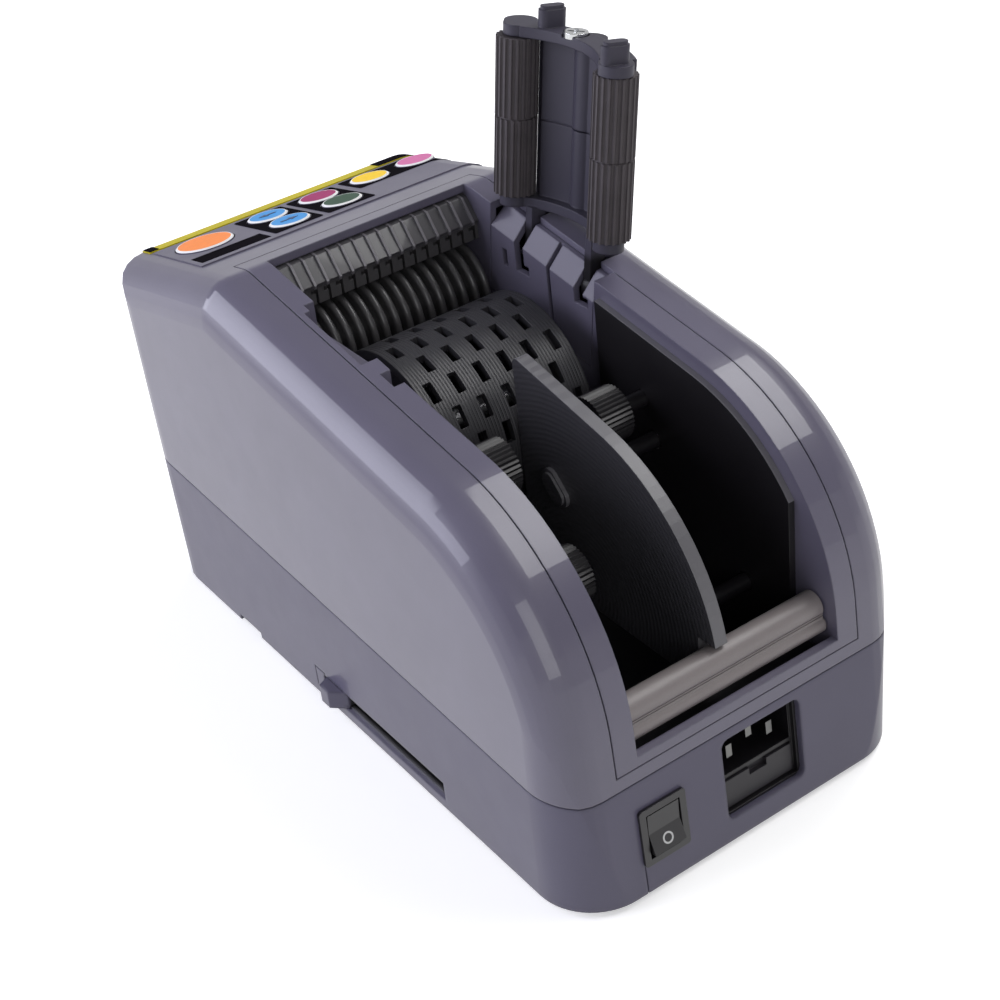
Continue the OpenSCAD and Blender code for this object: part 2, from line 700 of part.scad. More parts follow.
// Sloped bar under the panel's rear edge, with fine ribs that guide the tape
guide_ribs = 16;
guide_pitch = 2 * well_half / guide_ribs;
function rib_x(k) = (k + 0.5) * guide_pitch - well_half;
module upper_guide() color(bar_grey) {
    across(-well_half, well_half) guide_section(0);
    for (k = [0:guide_ribs - 1]) across(rib_x(k) - 0.4, rib_x(k) + 0.4) guide_section(0.7);
}
guide_top = rim_top(-well_front) - wall - 1.3;
guide_low = guide_top - 7.6;
module guide_section(rise) polygon([[-well_front - 3, guide_top - 2.4], [-well_front - 1, guide_top],
    [-well_front + 1 + rise, guide_top - 0.5 + rise / 2], [-well_front + 6 + rise, guide_top - 6.5],
    [-well_front + 5.6 + rise, guide_low], [-well_front + 4, guide_low],
    [-well_front + 4, guide_top - 6.8]]);

// Comb under the guide, with a hooked notch under each rib
module tooth_bar() color(black) translate([0, -well_front, guide_low]) difference() {
    across(-well_half, well_half) polygon([[-8, -2.3], [-8, 1.7], [-1, 1.7], [3.6, -0.15], [5.2, -0.15],
                                           [5.2, -5.3], [3.6, -5.7], [1, -4.3], [-1, -2.3]]);
    for (k = [0:guide_ribs - 1]) translate([rib_x(k), 0, 0]) {
        box([-1.1, -0.3], [3, 6], [-6, -0.8]);
        box([-1.1, 1.1], [3, 6], [-2, -0.8]);
    }
}

module tape_deck() color(dark_grey) difference() {
    union() {
        box([-slot_half, slot_half], [deck_y0, deck_y1], [slot_z - 2.5, slot_z - 0.5]);
        for (x = [-30:6:30]) box([x - 0.5, x + 0.5], [deck_y0, deck_y1], [slot_z - 0.6, slot_z]);
    }
}

module front_mouth() color(dark_grey) difference() {
    intersection() {
        mouth_hole();
        box([-far, far], [-front_reach + 0.1, -front_reach + 8], [0, far]);
    }
    box([-slot_half, slot_half], [-far, 0], [slot_z - 2, slot_z + slot_h]);
}

// Hollow drum with staggered rows of slots and a spoked disc near each end
module feed_drum() color(dark_grey) translate([-drum_l / 2, drum_y, drum_z]) rotate([90, 0, 90]) {
    pitch = drum_l / drum_rows / 2;
    slot = [2.8, 6.4];
    difference() {
        rotate_extrude() {
            translate([drum_r - drum_t, 0]) square([drum_t, drum_l]);
            for (z = [1.5, drum_l - 4]) translate([shaft_d / 2 + 0.02, z])
                square([drum_r - drum_t - shaft_d / 2 + 0.5, 2.5]);
        }
        for (k = [1:2 * drum_rows - 1]) translate([0, 0, k * pitch - slot[0] / 2]) linear_extrude(slot[0])
            for (j = [0:drum_slots - 1]) rotate((j + (k % 2) / 2) * 360 / drum_slots)
                translate([drum_r - drum_t - 1, -slot[1] / 2]) square([drum_t + 5, slot[1]]);
        for (j = [0:4]) rotate(j * 72) translate([16, 0, -1]) cylinder(r = 5.5, h = drum_l + 2);
    }
}

module drum_axle() color(steel) {
    rod_x([drum_y, drum_z], shaft_d, -frame_out - 3, gear_x + gear_w + 1);
    for (s = [-1, 1]) difference() {
        x0 = s > 0 ? drum_l / 2 + 0.3 : -well_half + 2;
        x1 = s > 0 ? well_half - 2 : -drum_l / 2 - 0.3;
        rod_x([drum_y, drum_z], shaft_d + 6, x0, x1);
    }
}

// Spur gear outline of module 1 with eased flanks
module gear_outline(teeth) {
    step = 360 / teeth;
    r = teeth / 2;
    polygon([for (k = [0:teeth - 1], c = [[-0.33, -1.2], [-0.2, 0], [-0.1, 0.9], [0.1, 0.9], [0.2, 0],
                                           [0.33, -1.2]])
        (r + c[1]) * [cos((k + c[0]) * step), sin((k + c[0]) * step)]]);
}
module gear(at, teeth, turn, bore) across(gear_x, gear_x + gear_w) translate(at) difference() {
    rotate(turn) gear_outline(teeth);
    circle(d = bore);
}

module drum_gear() color(bar_grey) difference() {
    gear([drum_y, drum_z], drum_teeth, 0, shaft_d + 0.04);
    for (k = [0:5]) rod_x([drum_y + 13 * cos(k * 60), drum_z + 13 * sin(k * 60)], 8, gear_x - 1, gear_x + 9);
}
module feed_gear() color(bar_grey) gear([feed_y, feed_z], feed_teeth, feed_gear_turn, shaft_d + 0.04);
module feed_idler() color(bar_grey)
    gear(feed_idler_at, idler_teeth, feed_idler_turn, idler_axle_d + 2 * run_gap);
module motor_idler() color(bar_grey)
    gear(motor_idler_at, motor_idler_teeth, motor_idler_turn, idler_axle_d + 2 * run_gap);
module motor_pinion() color(brass) {
    gear(motor_at, pinion_teeth, pinion_turn, 3);
    rod_x(motor_at, 4, well_half - 8, gear_x + gear_w);
}

module idler_axles() color(steel) for (p = [feed_idler_at, motor_idler_at]) {
    rod_x(p, idler_axle_d, well_half, gear_x + gear_w + 1.4);
    rod_x(p, idler_axle_d + 3, gear_x + gear_w + 0.4, gear_x + gear_w + 1.4);
    rod_x(p, idler_axle_d + 3, frame_out, gear_x - 0.4);
}

// Row of rings on a core
module feed_roller() color(black) translate([-well_half + 2, feed_y, feed_z]) rotate([90, 0, 90]) {
    length = 2 * well_half - 4;
    pitch = length / ring_count;
    difference() {
        rotate_extrude() {
            square([ring_r - 4, length]);
            for (k = [0:ring_count - 1]) translate([0, k * pitch + pitch * 0.2])
                square([ring_r - 0.8, pitch * 0.55]);
            for (k = [0:ring_count - 1]) translate([ring_r - 0.8, k * pitch + pitch * 0.475])
                circle(r = pitch * 0.275, $fn = 24);
        }
        translate([0, 0, -1]) cylinder(d = shaft_d + 0.04, h = length + 2);
    }
}
module feed_shaft() color(steel) rod_x([feed_y, feed_z], shaft_d, -frame_out - 3, gear_x + gear_w + 1);

module shaft_bushes() color(brass) for (at = [[drum_y, drum_z], [feed_y, feed_z]], s = [-1, 1]) {
    x0 = s > 0 ? frame_out - bush_l / 2 - 1 : -frame_out - bush_l / 2 + 1;
    difference() {
        rod_x(at, bush_d, x0, x0 + bush_l - 1);
        rod_x(at, shaft_d + 2 * run_gap, x0 - 1, x0 + bush_l + 1);
    }
}

module feed_motor() color(steel) difference() {
    union() {
        rod_x(motor_at, 2 * motor_r, well_half - motor_l, well_half);
        rod_x(motor_at, 10, well_half - motor_l - 4, well_half - motor_l + 1);
    }
    rod_x(motor_at, 4 + 2 * run_gap, well_half - 9, well_half + 1);
}

// Folded cutter frame with its tape window and side flanges
module cutter_frame() color(steel) difference() {
    union() {
        box([-frame_out - 2, frame_out + 2], [frame_y, frame_y + frame_t], [36, slot_z + slot_h + 3]);
        for (s = [-1, 1]) box(s > 0 ? [frame_out, frame_out + 2] : [-frame_out - 2, -frame_out],
                              [frame_y, feed_y - 9], [36, slot_z + slot_h + 3]);
        for (s = [-1, 1]) box(s > 0 ? [blade_half + 0.4, frame_out + 2] : [-frame_out - 2, -blade_half - 0.4],
                              [blade_y - 1, frame_y], [50, slot_z - 2]);
    }
    box([-slot_half, slot_half], [-far, 0], [slot_z, slot_z + slot_h]);
    rod_y(0, crank_z, 8, frame_y - 2, frame_y + 4);
}

module fixed_blade() color(steel) across(-slot_half, slot_half)
    translate([frame_y - 2.7, slot_z + slot_h]) square([2.7, 3]);

// Rising blade with a slanted toothless edge and a cross slot for the crank pin
module moving_blade() color(steel) difference() {
    translate([0, blade_y + blade_t, 0]) rotate([90, 0, 0]) linear_extrude(blade_t)
        polygon([[-blade_half, 52], [blade_half, 52], [blade_half, blade_top - 2.5],
                 [-blade_half, blade_top]]);
    translate([0, blade_y + blade_t + 1, 0]) rotate([90, 0, 0]) linear_extrude(blade_t + 2) {
        translate([-9, pin_z - crank_pin_d / 2 - 0.2]) square([18, crank_pin_d + 0.4]);
    }
}

module crank_disc() color(bar_grey) {
    rod_y(0, crank_z, 2 * crank_throw + 8, disc_y, disc_y + disc_t);
    rod_y(pin_x, pin_z, crank_pin_d, blade_y + 0.5, disc_y + 0.5);
    rod_y(0, crank_z, 5, disc_y, frame_y + 8);
}

module cutter_motor() color(steel) difference() {
    rod_y(0, crank_z, 2 * cutter_motor_r, frame_y + frame_t, frame_y + frame_t + 30);
    rod_y(0, crank_z, 5 + 2 * run_gap, frame_y + frame_t - 1, frame_y + 9);
}

// Half-disc plate with bosses for its two rods, which slide through the -X wall
module divider() color(dark_grey) difference() {
    union() {
        across(-divider_t / 2, divider_t / 2) difference() {
            divider_face();
            square([lid_rear + liner_t + slide_gap, divider_step]);
            translate([bar_y + bar_out - 2 * bar_round - 0.6, 0]) square([far, bar_z + bar_h + 1.2]);
        }
        for (w = rod_places) rod_x(w, rod_d + 6, -divider_t / 2 - 1.2, 0);
        for (c = [[6, 1.2], [5, 2]]) across(0, divider_t / 2 + c[1]) translate(rod_places[0]) rotate(-45)
            rounded(2 * c[0], 1.1 * c[0], 0.54 * c[0]);
    }
    for (w = rod_places) rod_x(w, rod_d + 0.04, -20, rod_end);
}
module divider_face() intersection() {
    hull() {
        translate([rear_y, rear_z]) circle(r = divider_r, $fn = 96);
        translate([divider_y0 + 2, rim_top(divider_y0) - 6]) circle(r = 2, $fn = 16);
        translate([divider_y0 + 2, divider_z0 + 22]) circle(r = 2, $fn = 16);
    }
    translate([divider_y0, divider_z0]) square([far, far]);
}
rod_end = divider_t / 2 - 0.6;
module divider_rods() color(steel) for (w = rod_places)
    rod_x(w, rod_d, -frame_out - divider_slide - 0.4, rod_end);

// Knurled wheels: 1 and 2 beside the +X wall, 3 on the other side of the divider
module guide_wheel(place, side) color(black) {
    at = wheel_places[place];
    x0 = side > 0 ? wheel_in : inner_wheel_x - inner_wheel_l;
    x1 = side > 0 ? wheel_in + wheel_l : inner_wheel_x;
    difference() {
        across(x0, x1) translate(at) polygon([for (k = [0:2 * knurls - 1])
            (wheel_r - (k % 2) * 0.5) * [cos(k * 180 / knurls), sin(k * 180 / knurls)]]);
        rod_x(at, wheel_axle_d + 2 * run_gap, x0 - 1, x1 + 1);
    }
}
module guide_wheel_1() guide_wheel(0, 1);
module guide_wheel_2() guide_wheel(1, 1);
module guide_wheel_3() guide_wheel(0, -1);
module wheel_axles() color(steel) {
    for (w = wheel_places) {
        rod_x(w, wheel_axle_d, wheel_in - 1, frame_out);
        rod_x(w, wheel_axle_d + 2, wheel_in - 1.4, wheel_in - 0.4);
    }
    rod_x(wheel_places[0], wheel_axle_d, -frame_out, inner_wheel_x + 1);
    rod_x(wheel_places[0], wheel_axle_d + 2, inner_wheel_x + 0.4, inner_wheel_x + 1.4);
}

// Round-topped bar on two end pins
bar_round = 4;
bar_out = 1.5;
module rear_bar() color(bar_grey) {
    face = bar_y + bar_out - 0.15;
    across(-well_half + 0.5, well_half - 0.5) difference() {
        union() {
            translate([bar_y, bar_z]) circle(d = bar_pin_d + 1);
            translate([bar_y + bar_out - bar_round, bar_z + bar_h - bar_round]) circle(r = bar_round);
            translate([bar_y - 1.2, bar_z]) square([face - bar_y + 1.2, bar_h - bar_round + 0.5]);
            translate([face - 0.5, bar_z + 1.4]) circle(r = 0.9, $fn = 24);
        }
        for (z = [3, 3.8]) translate([face - 0.35, bar_z + z]) square([1, 0.35]);
    }
    rod_x([bar_y, bar_z], bar_pin_d, -frame_out + 0.2, frame_out - 0.2);
}

socket_w = inlet_w - 3;
socket_h = inlet_h * 0.5;
drawer_h = inlet_h * 0.36;
socket_up = inlet_h / 2 - 1.2 - socket_h / 2;
drawer_up = drawer_h / 2 + 1.2 - inlet_h / 2;
inlet_sink = 3.5;
module mains_inlet() color(black) on_rear(inlet_x, inlet_z) difference() {
    union() {
        plate_y(-inlet_sink - inlet_depth, -wall + 0.5) intersection() {
            rounded(inlet_w, inlet_h, 2.5);
            square([inlet_w, inlet_h], center = true);
        }
        plate_y(-wall - 2.1, -wall - 0.1) rounded(inlet_w + 5, inlet_h + 3, 2.5);
    }
    plate_y(-inlet_sink, 10) square([inlet_w - 1.6, inlet_h - 1.6], center = true);
    translate([0, 0, socket_up]) plate_y(-inlet_sink - inlet_depth + 2.5, 0)
        square([socket_w, socket_h], center = true);
    translate([0, 0, drawer_up]) plate_y(-inlet_sink - inlet_depth + 1.5, 0)
        square([socket_w, drawer_h], center = true);
}
module inlet_pins() color(steel) on_rear(inlet_x, inlet_z) for (p = [[-7, -1.5], [0, 1.5], [7, -1.5]])
    translate([p[0], 0, socket_up + p[1]]) plate_y(-inlet_sink - inlet_depth + 2.5, -inlet_sink - 2)
        square([2, 4], center = true);
module fuse_drawer() color(dark_grey) on_rear(inlet_x, inlet_z) translate([0, 0, drawer_up]) difference() {
    plate_y(-inlet_sink - inlet_depth + 2, -inlet_sink + 0.6)
        square([socket_w - 2 * slide_gap, drawer_h - 2 * slide_gap], center = true);
    plate_y(-inlet_sink - 1, 10) translate([-3, drawer_h / 2 - 2.6]) square([6, 10]);
    plate_y(-inlet_sink - inlet_depth + 4, -inlet_sink - 3) translate([-9, -2]) square([18, far]);
}

switch_proud = 1;
rocker_r = 1.25;
rocker_sink = 3;
module switch_frame() color(black) on_rear(switch_x, switch_z) difference() {
    union() {
        plate_y(0.1, switch_proud) rounded(switch_w, switch_h, 1);
        plate_y(-12, 0.5) square([switch_w - 2, switch_h - 2], center = true);
    }
    plate_y(-10, 10) square([switch_w - 4, switch_h - 4], center = true);
    rod_x([-rocker_sink, 0], 2 * rocker_r + 2 * run_gap, -switch_w / 2 + 1.4, switch_w / 2 - 1.4);
}
module rocker() color(black) on_rear(switch_x, switch_z) translate([0, -rocker_sink, 0])
    rotate([rocker_throw / 2, 0, 0]) {
        across(-switch_w / 2 + 2.4, switch_w / 2 - 2.4) {
            h = switch_h / 2 - 3;
            polygon([[-3, -h * 0.6], [2, -h], [4.8, -h], [3.6, 0], [4.8, h], [2, h], [-3, h * 0.6]]);
        }
        rod_x([0, 0], 2 * rocker_r, -switch_w / 2 + 1.6, switch_w / 2 - 1.6);
    }

// Knob with a plate that runs along the inside of the wall
module side_slider() color(case_grey) {
    box([slider_in - 2, slider_in], [slider_y0 - 10, slider_y0 + 10], [slider_z - 3.4, slider_z + 3.4]);
    box([slider_in - 1, half_w - 0.6], [slider_y0 - knob_l / 2, slider_y0 + knob_l / 2],
        [slider_z - slider_slot_h / 2 + slide_gap, slider_z + slider_slot_h / 2 - slide_gap]);
    translate([0, 0, slider_z - 3]) linear_extrude(6)
        polygon([[half_w - 0.8, slider_y0 - knob_l / 2], [knob_out, slider_y0 - knob_l / 2 + 2],
                 [knob_out, slider_y0 + 1], [half_w - 0.8, slider_y0 + knob_l / 2]]);
}

film_x = [-half_w + 4, half_w - 12.5];
film_s = [9, 44];
bar_x = [20.5, 44];
bar_s = [33, 41.4];
strip_x = [-half_w + 3, half_w - 12];
strip_s = [1.5, 7.4];
// Thin sheet that follows the case over one stretch of the panel
module film(x, s) difference() {
    intersection() {
        case_form(-film_t, 15);
        on_panel(x[0], s[0], -6) cube([x[1] - x[0], s[1] - s[0], 12]);
    }
    case_form(0, 15);
}
module panel_overlay() color(case_grey) difference() {
    film(film_x, film_s);
    for (k = key_places) on_panel(k[0], k[1], -6) cylinder(r = key_r + key_hole, h = 12);
    on_panel(start_at[0], start_at[1], -6) cylinder(r = start_r + key_hole, h = 12);
    on_panel(bar_x[0], bar_s[0], -6) cube([bar_x[1] - bar_x[0], bar_s[1] - bar_s[0], 12]);
}
module caution_strip() color([0.75, 0.68, 0.10]) film(strip_x, strip_s);
module name_bar() color(black) film(bar_x + [0.2, -0.2], bar_s + [0.2, -0.2]);

// Button that slides square to the panel, held from below by its flange
module key(at, r, tint) color(tint) on_panel(at[0], at[1], 0) {
    translate([0, 0, -wall - 0.3 - key_flange]) cylinder(r = r + key_lip, h = key_flange);
    translate([0, 0, -wall - 0.5]) cylinder(r = r, h = wall + 0.5 + key_rise - 0.4);
    translate([0, 0, key_rise - 0.5]) cylinder(r1 = r, r2 = r - 0.5, h = 0.5);
}
module start_button() key(start_at, start_r, [0.95, 0.45, 0.15]);
module blue_button_1() key(key_places[0], key_r, [0.25, 0.6, 0.9]);
module blue_button_2() key(key_places[1], key_r, [0.25, 0.6, 0.9]);
module magenta_button() key(key_places[2], key_r, [0.65, 0.15, 0.4]);
module green_button() key(key_places[3], key_r, [0.2, 0.32, 0.25]);
module yellow_button() key(key_places[4], key_r, [0.95, 0.8, 0.2]);
module pink_button() key(key_places[5], key_r, [0.8, 0.4, 0.6]);

module control_board() color(board_green) {
    on_panel(-half_w + 6.5, 9, -board_depth - 1.6) cube([case_w - 18.5, 33, 1.6]);
    for (k = concat(key_places, [start_at])) on_panel(k[0], k[1], -board_depth - 0.1)
        cylinder(r = 2, h = 0.3);
}

module power_board() color(board_green) {
    box([-36, 36], [board_y, board_y + 40], [floor_top + 4.5, floor_top + 6.1]);
    box([-28, 4], [board_y + 6, board_y + 32], [floor_top + 6, floor_top + 26]);
    for (x = [12, 24]) translate([x, board_y + 20, floor_top + 6]) cylinder(r = 5, h = 16);
}

module feet() color(black) for (s = [-1, 1], y = post_y + [-4, -2]) translate([s * (post_x - 10), y, 0])
    cylinder(r1 = 6, r2 = 7, h = foot_gap);

module base_screws() color(steel) for (p = post_places) translate([p[0], p[1], 0]) {
    translate([0, 0, foot_gap + 0.2]) cylinder(r = 3, h = 1.8);
    translate([0, 0, foot_gap + 1]) cylinder(d = screw_d, h = 40);
}

base_shell();
upper_cover();
well_frame();
well_tub();
hinge_cover();
hinge_pin();
press_lid();
lid_screw();
press_axles();
press_roller_front();
press_roller_rear();
upper_guide();
tooth_bar();
tape_deck();
front_mouth();
feed_drum();
drum_axle();
drum_gear();
feed_roller();
feed_shaft();
feed_gear();
feed_idler();
motor_idler();
motor_pinion();
idler_axles();
shaft_bushes();
feed_motor();
cutter_frame();
fixed_blade();
moving_blade();
crank_disc();
cutter_motor();
divider();
divider_rods();
guide_wheel_1();
guide_wheel_2();
guide_wheel_3();
wheel_axles();
rear_bar();
mains_inlet();
inlet_pins();
fuse_drawer();
switch_frame();
rocker();
side_slider();
panel_overlay();
caution_strip();
name_bar();
start_button();
blue_button_1();
blue_button_2();
magenta_button();
green_button();
yellow_button();
pink_button();
control_board();
power_board();
feet();
base_screws();
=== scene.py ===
"""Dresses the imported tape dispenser: finishes, panel prints, stage, lights and camera."""

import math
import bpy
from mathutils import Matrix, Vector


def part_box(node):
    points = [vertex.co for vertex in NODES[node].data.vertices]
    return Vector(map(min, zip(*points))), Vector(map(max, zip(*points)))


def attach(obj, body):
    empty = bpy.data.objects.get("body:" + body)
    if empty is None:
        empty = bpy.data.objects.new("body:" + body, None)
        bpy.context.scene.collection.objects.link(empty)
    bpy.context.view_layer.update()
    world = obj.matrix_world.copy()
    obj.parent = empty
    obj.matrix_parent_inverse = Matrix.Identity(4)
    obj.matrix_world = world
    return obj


bl_info = {
    "name": "Tape dispenser dressing",
    "version": (1, 0, 0),
    "blender": (4, 5, 0),
    "location": "View3D > Sidebar > Dispenser",
    "description": "Finishes and panel prints for an electric tape dispenser",
    "category": "Object",
}

import bmesh
import bpy
from mathutils import Matrix, Vector

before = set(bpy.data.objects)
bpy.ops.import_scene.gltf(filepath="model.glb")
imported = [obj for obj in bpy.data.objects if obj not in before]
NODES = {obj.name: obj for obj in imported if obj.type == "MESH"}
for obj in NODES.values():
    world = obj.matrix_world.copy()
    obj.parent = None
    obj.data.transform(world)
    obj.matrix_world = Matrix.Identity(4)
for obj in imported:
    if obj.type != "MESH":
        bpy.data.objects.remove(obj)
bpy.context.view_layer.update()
MM = 0.001

# Places of the panel, the rear wall, the roll and the hinge, as in the solids, in millimetres and radians
PANEL_EDGE = (-111.8, 112.0)
PANEL_TILT = math.radians(12.9056)
PANEL_SINK = 0.05
SHOULDER_START = 46.0
SHOULDER_R = 12.0
FILM_T = 0.4
SWITCH_AT = (29.2, 110.077, 20.0)
REAR_TILT = math.radians(4.8124)
RIM_TILT = math.radians(-9.437)
ROCKER_SINK = 3.0
ROCKER_REST = math.radians(8.0)
ROLL_AT = (45.5, 48.0)
HINGE_AT = (-39.5, 109.5)
# Keys: place across the panel, place up its slope and radius
BUTTONS = {
    "start_button": (33.4, 21.0, 9.0),
    "blue_button_1": (10.0, 18.2, 6.4),
    "blue_button_2": (9.6, 32.3, 6.4),
    "magenta_button": (-8.3, 18.2, 6.4),
    "green_button": (-9.0, 32.3, 6.4),
    "yellow_button": (-27.3, 18.2, 6.4),
    "pink_button": (-44.5, 18.2, 6.4),
}
BUTTON_TOP = 1.0

# Printed patches beside the keys: name, ends across the panel and ends up its slope, in millimetres
PATCHES = (
    ("patch_blue", 2.0, 18.6, 11.2, 40.4),
    ("patch_middle", -16.6, 0.0, 11.2, 40.4),
    ("patch_far", -53.4, -19.4, 10.6, 26.0),
)
STRIP_ENDS = (("strip_end_near", 42.6, 45.8), ("strip_end_far", -54.8, -37.0))
STRIP_SPAN = (1.7, 7.2)
STRIP_CORNER = 0.3
PRINT_LIFT = 0.02
SHOULDER_CUTS = (-46, -48, -50, -51.5, -53, -54, -55)
CUT_MARGIN = 0.01
KEY_GAP = 0.45
ARROW_LIFT = 0.01
ARROW_SHAPE = ((-3.0, -0.45), (0.2, -0.45), (0.2, -1.5), (3.0, 0.0), (0.2, 1.5), (0.2, 0.45), (-3.0, 0.45))

# The round mark on the rocker's lower half
MARK_RING = (1.15, 1.65, 0.06)
MARK_AT = (0.0, 4.24, -3.2)
MARK_TILT = math.atan2(1.2, 6.0)

# Cosines between which a normal starts to count as part of the arch, and of the whole swept form
ARCH_CLOSE = (0.996, 0.999)
FORM_CLOSE = (0.975, 0.988)

# Parts of a finish, in metres: painted shade on the base behind its side walls, painted highlight on the
# liner's brim, lid's arms, painted highlight on the guide's ribs, relief
INNER_SHADE_HALF = 0.0570
INNER_SHADE_REACH = 0.085
INNER_SHADE_FADE = 0.0004
BRIM_HIGHLIGHT_FROM = 0.058
ARM_REACH = 0.011
GUIDE_RIBS = 16
RIB_HIGHLIGHT_W = 0.0004
RELIEF_DEPTH = 0.00025
GRAIN_SCALE = 2600.0
GRAIN_DEPTH = 0.00002

# Tones that stand beside the colours a user would change
# Share of the case grey for the base: painted shade, the same plastic made darker where its upright walls
# take less light
BASE_SHADE_SHARE = (0.80, 0.80, 0.84)
# Painted highlight on the liner's top edge
BRIM_HIGHLIGHT_GREY = (0.14, 0.135, 0.15)
# Painted highlight on the divider's narrow edges
DIVIDER_EDGE_HIGHLIGHT = (0.125, 0.122, 0.132)
KEY_RIM = (0.82, 0.82, 0.82)
MARK_GREY = (0.55, 0.55, 0.55)
ARROW_INK = (0.02, 0.06, 0.16)
FOOT_BLACK = (0.02, 0.02, 0.02)
SCREW_STEEL = (0.60, 0.60, 0.62)
AXLE_STEEL = (0.45, 0.45, 0.47)
PIN_STEEL = (0.55, 0.55, 0.57)
SCREW_CHROME = (0.82, 0.83, 0.85)
CONTACT_STEEL = (0.22, 0.22, 0.215)
WORKS_STEEL = (0.55, 0.55, 0.56)
BUSH_BRASS = (0.60, 0.42, 0.16)
GEAR_WHITE = (0.62, 0.60, 0.54)
BOARD_GREEN = (0.02, 0.13, 0.06)

# Stage, in metres and watts
FLOOR_HALF = 30.0
FLOOR_GLOW = 0.42
WALL_R = 6.0
WALL_H = 2.0
WALL_TONE = 0.56
STAGE_PAINT = (0.90, 0.90, 0.90, 1.0)
WHITE = (1.0, 1.0, 1.0)
SKY_TINT = (0.96, 0.97, 1.0, 1.0)
SKY_LEVEL = 0.16
# Lamp: name, place, target, size, power, tint and whether gloss shows it
LAMPS = (
    ("soft_right", (-0.50, 0.13, 0.88), (0.0, 0.0, 0.1), (0.87, 0.45), 6.1, WHITE, True),
    ("soft_left", (0.80, -0.56, 0.52), (0.0, 0.0, 0.08), (1.1, 0.8), 12.6, (0.86, 0.87, 1.0), True),
    ("soft_front", (-0.85, -0.50, 0.34), (0.0, 0.0, 0.08), (0.6, 0.4), 3.0, WHITE, False),
    ("soft_rear", (0.35, 0.95, 0.55), (0.0, 0.05, 0.05), (0.6, 0.6), 2.7, WHITE, True),
)
# Camera's azimuth, elevation and roll in degrees, and its place in millimetres
CAMERA_TURN = (148.067, 33.834, -6.843)
CAMERA_AT = (243.8, 395.1, 363.7)
SENSOR_W = 36.0


class Shade:
    """Wraps a shader socket, so that sums on it add Math nodes."""

    def __init__(self, tree, socket=None):
        self.tree = tree
        self.socket = socket

    def node(self, kind, settings=None, sockets=None, out=0):
        """Adds a node, sets it, feeds its sockets and returns one output, where it has any."""
        made = self.tree.nodes.new("ShaderNode" + kind)
        for key, value in (settings or {}).items():
            setattr(made, key, value)
        for key, value in (sockets or {}).items():
            if isinstance(value, Shade):
                self.tree.links.new(value.socket, made.inputs[key])
            else:
                made.inputs[key].default_value = value
        return Shade(self.tree, made.outputs[out] if made.outputs else None)

    def maths(self, operation, first, second=0.0):
        return self.node("Math", {"operation": operation}, {0: first, 1: second})

    def vectors(self, operation, first, second, out=0):
        return self.node("VectorMath", {"operation": operation}, {0: first, 1: second}, out)

    def part(self, axis):
        """One of a vector's three parts."""
        return self.node("SeparateXYZ", None, {"Vector": self}, axis)

    def __add__(self, other):
        return self.maths("ADD", self, other)

    __radd__ = __add__

    def __sub__(self, other):
        return self.maths("SUBTRACT", self, other)

    def __rsub__(self, other):
        return self.maths("SUBTRACT", other, self)

    def __mul__(self, other):
        return self.maths("MULTIPLY", self, other)

    __rmul__ = __mul__

    def __truediv__(self, other):
        return self.maths("DIVIDE", self, other)

    def __rtruediv__(self, other):
        return self.maths("DIVIDE", other, self)

    def __gt__(self, other):
        return self.maths("GREATER_THAN", self, other)

    def between(self, low, high):
        """Goes from 0 at low to 1 at high."""
        return self.node("MapRange", {"clamp": True},
                         {"Value": self, "From Min": low, "From Max": high})

    def tint(self, first, second):
        """Mixes two colours by this value."""
        return self.node("Mix", {"data_type": "RGBA"}, {0: self, 6: first, 7: second}, out=2)


def colour(value):
    return (*value[:3], 1.0)


def toned(base, share):
    """A colour made darker or lighter by a share."""
    return [v * share for v in base]


def bare_tree(owner):
    """Empties the nodes of a material or a world and wraps its tree."""
    owner.use_nodes = True
    owner.node_tree.nodes.clear()
    return Shade(owner.node_tree)


def new_material(name):
    """A material with a Principled shader alone; returns material, tree wrap and shader."""
    material = bpy.data.materials.new(name)
    shade = bare_tree(material)
    surface = shade.node("BsdfPrincipled")
    shade.node("OutputMaterial", None, {"Surface": surface})
    return material, shade, surface.socket.node


def feed(shade, shader, name, value):
    """Links a varying value to the shader's own socket."""
    shade.tree.links.new(value.socket, shader.inputs[name])


def place(shade):
    """Point of the surface, in the object's own directions."""
    return shade.node("TexCoord", out="Object")


def face_way(shade):
    """Direction that the surface faces, in the object's own directions."""
    return shade.node("TexCoord", out="Normal")


def noise(shade, where, scale, detail=2.0, rough=0.5):
    """Cloudy value from 0 to 1."""
    return shade.node("TexNoise", None, {"Vector": where, "Scale": scale, "Detail": detail,
                                         "Roughness": rough})


def soft_edge(shade, radius):
    """Normal that rounds each edge by a radius in metres."""
    return shade.node("Bevel", {"samples": 4}, {"Radius": radius})


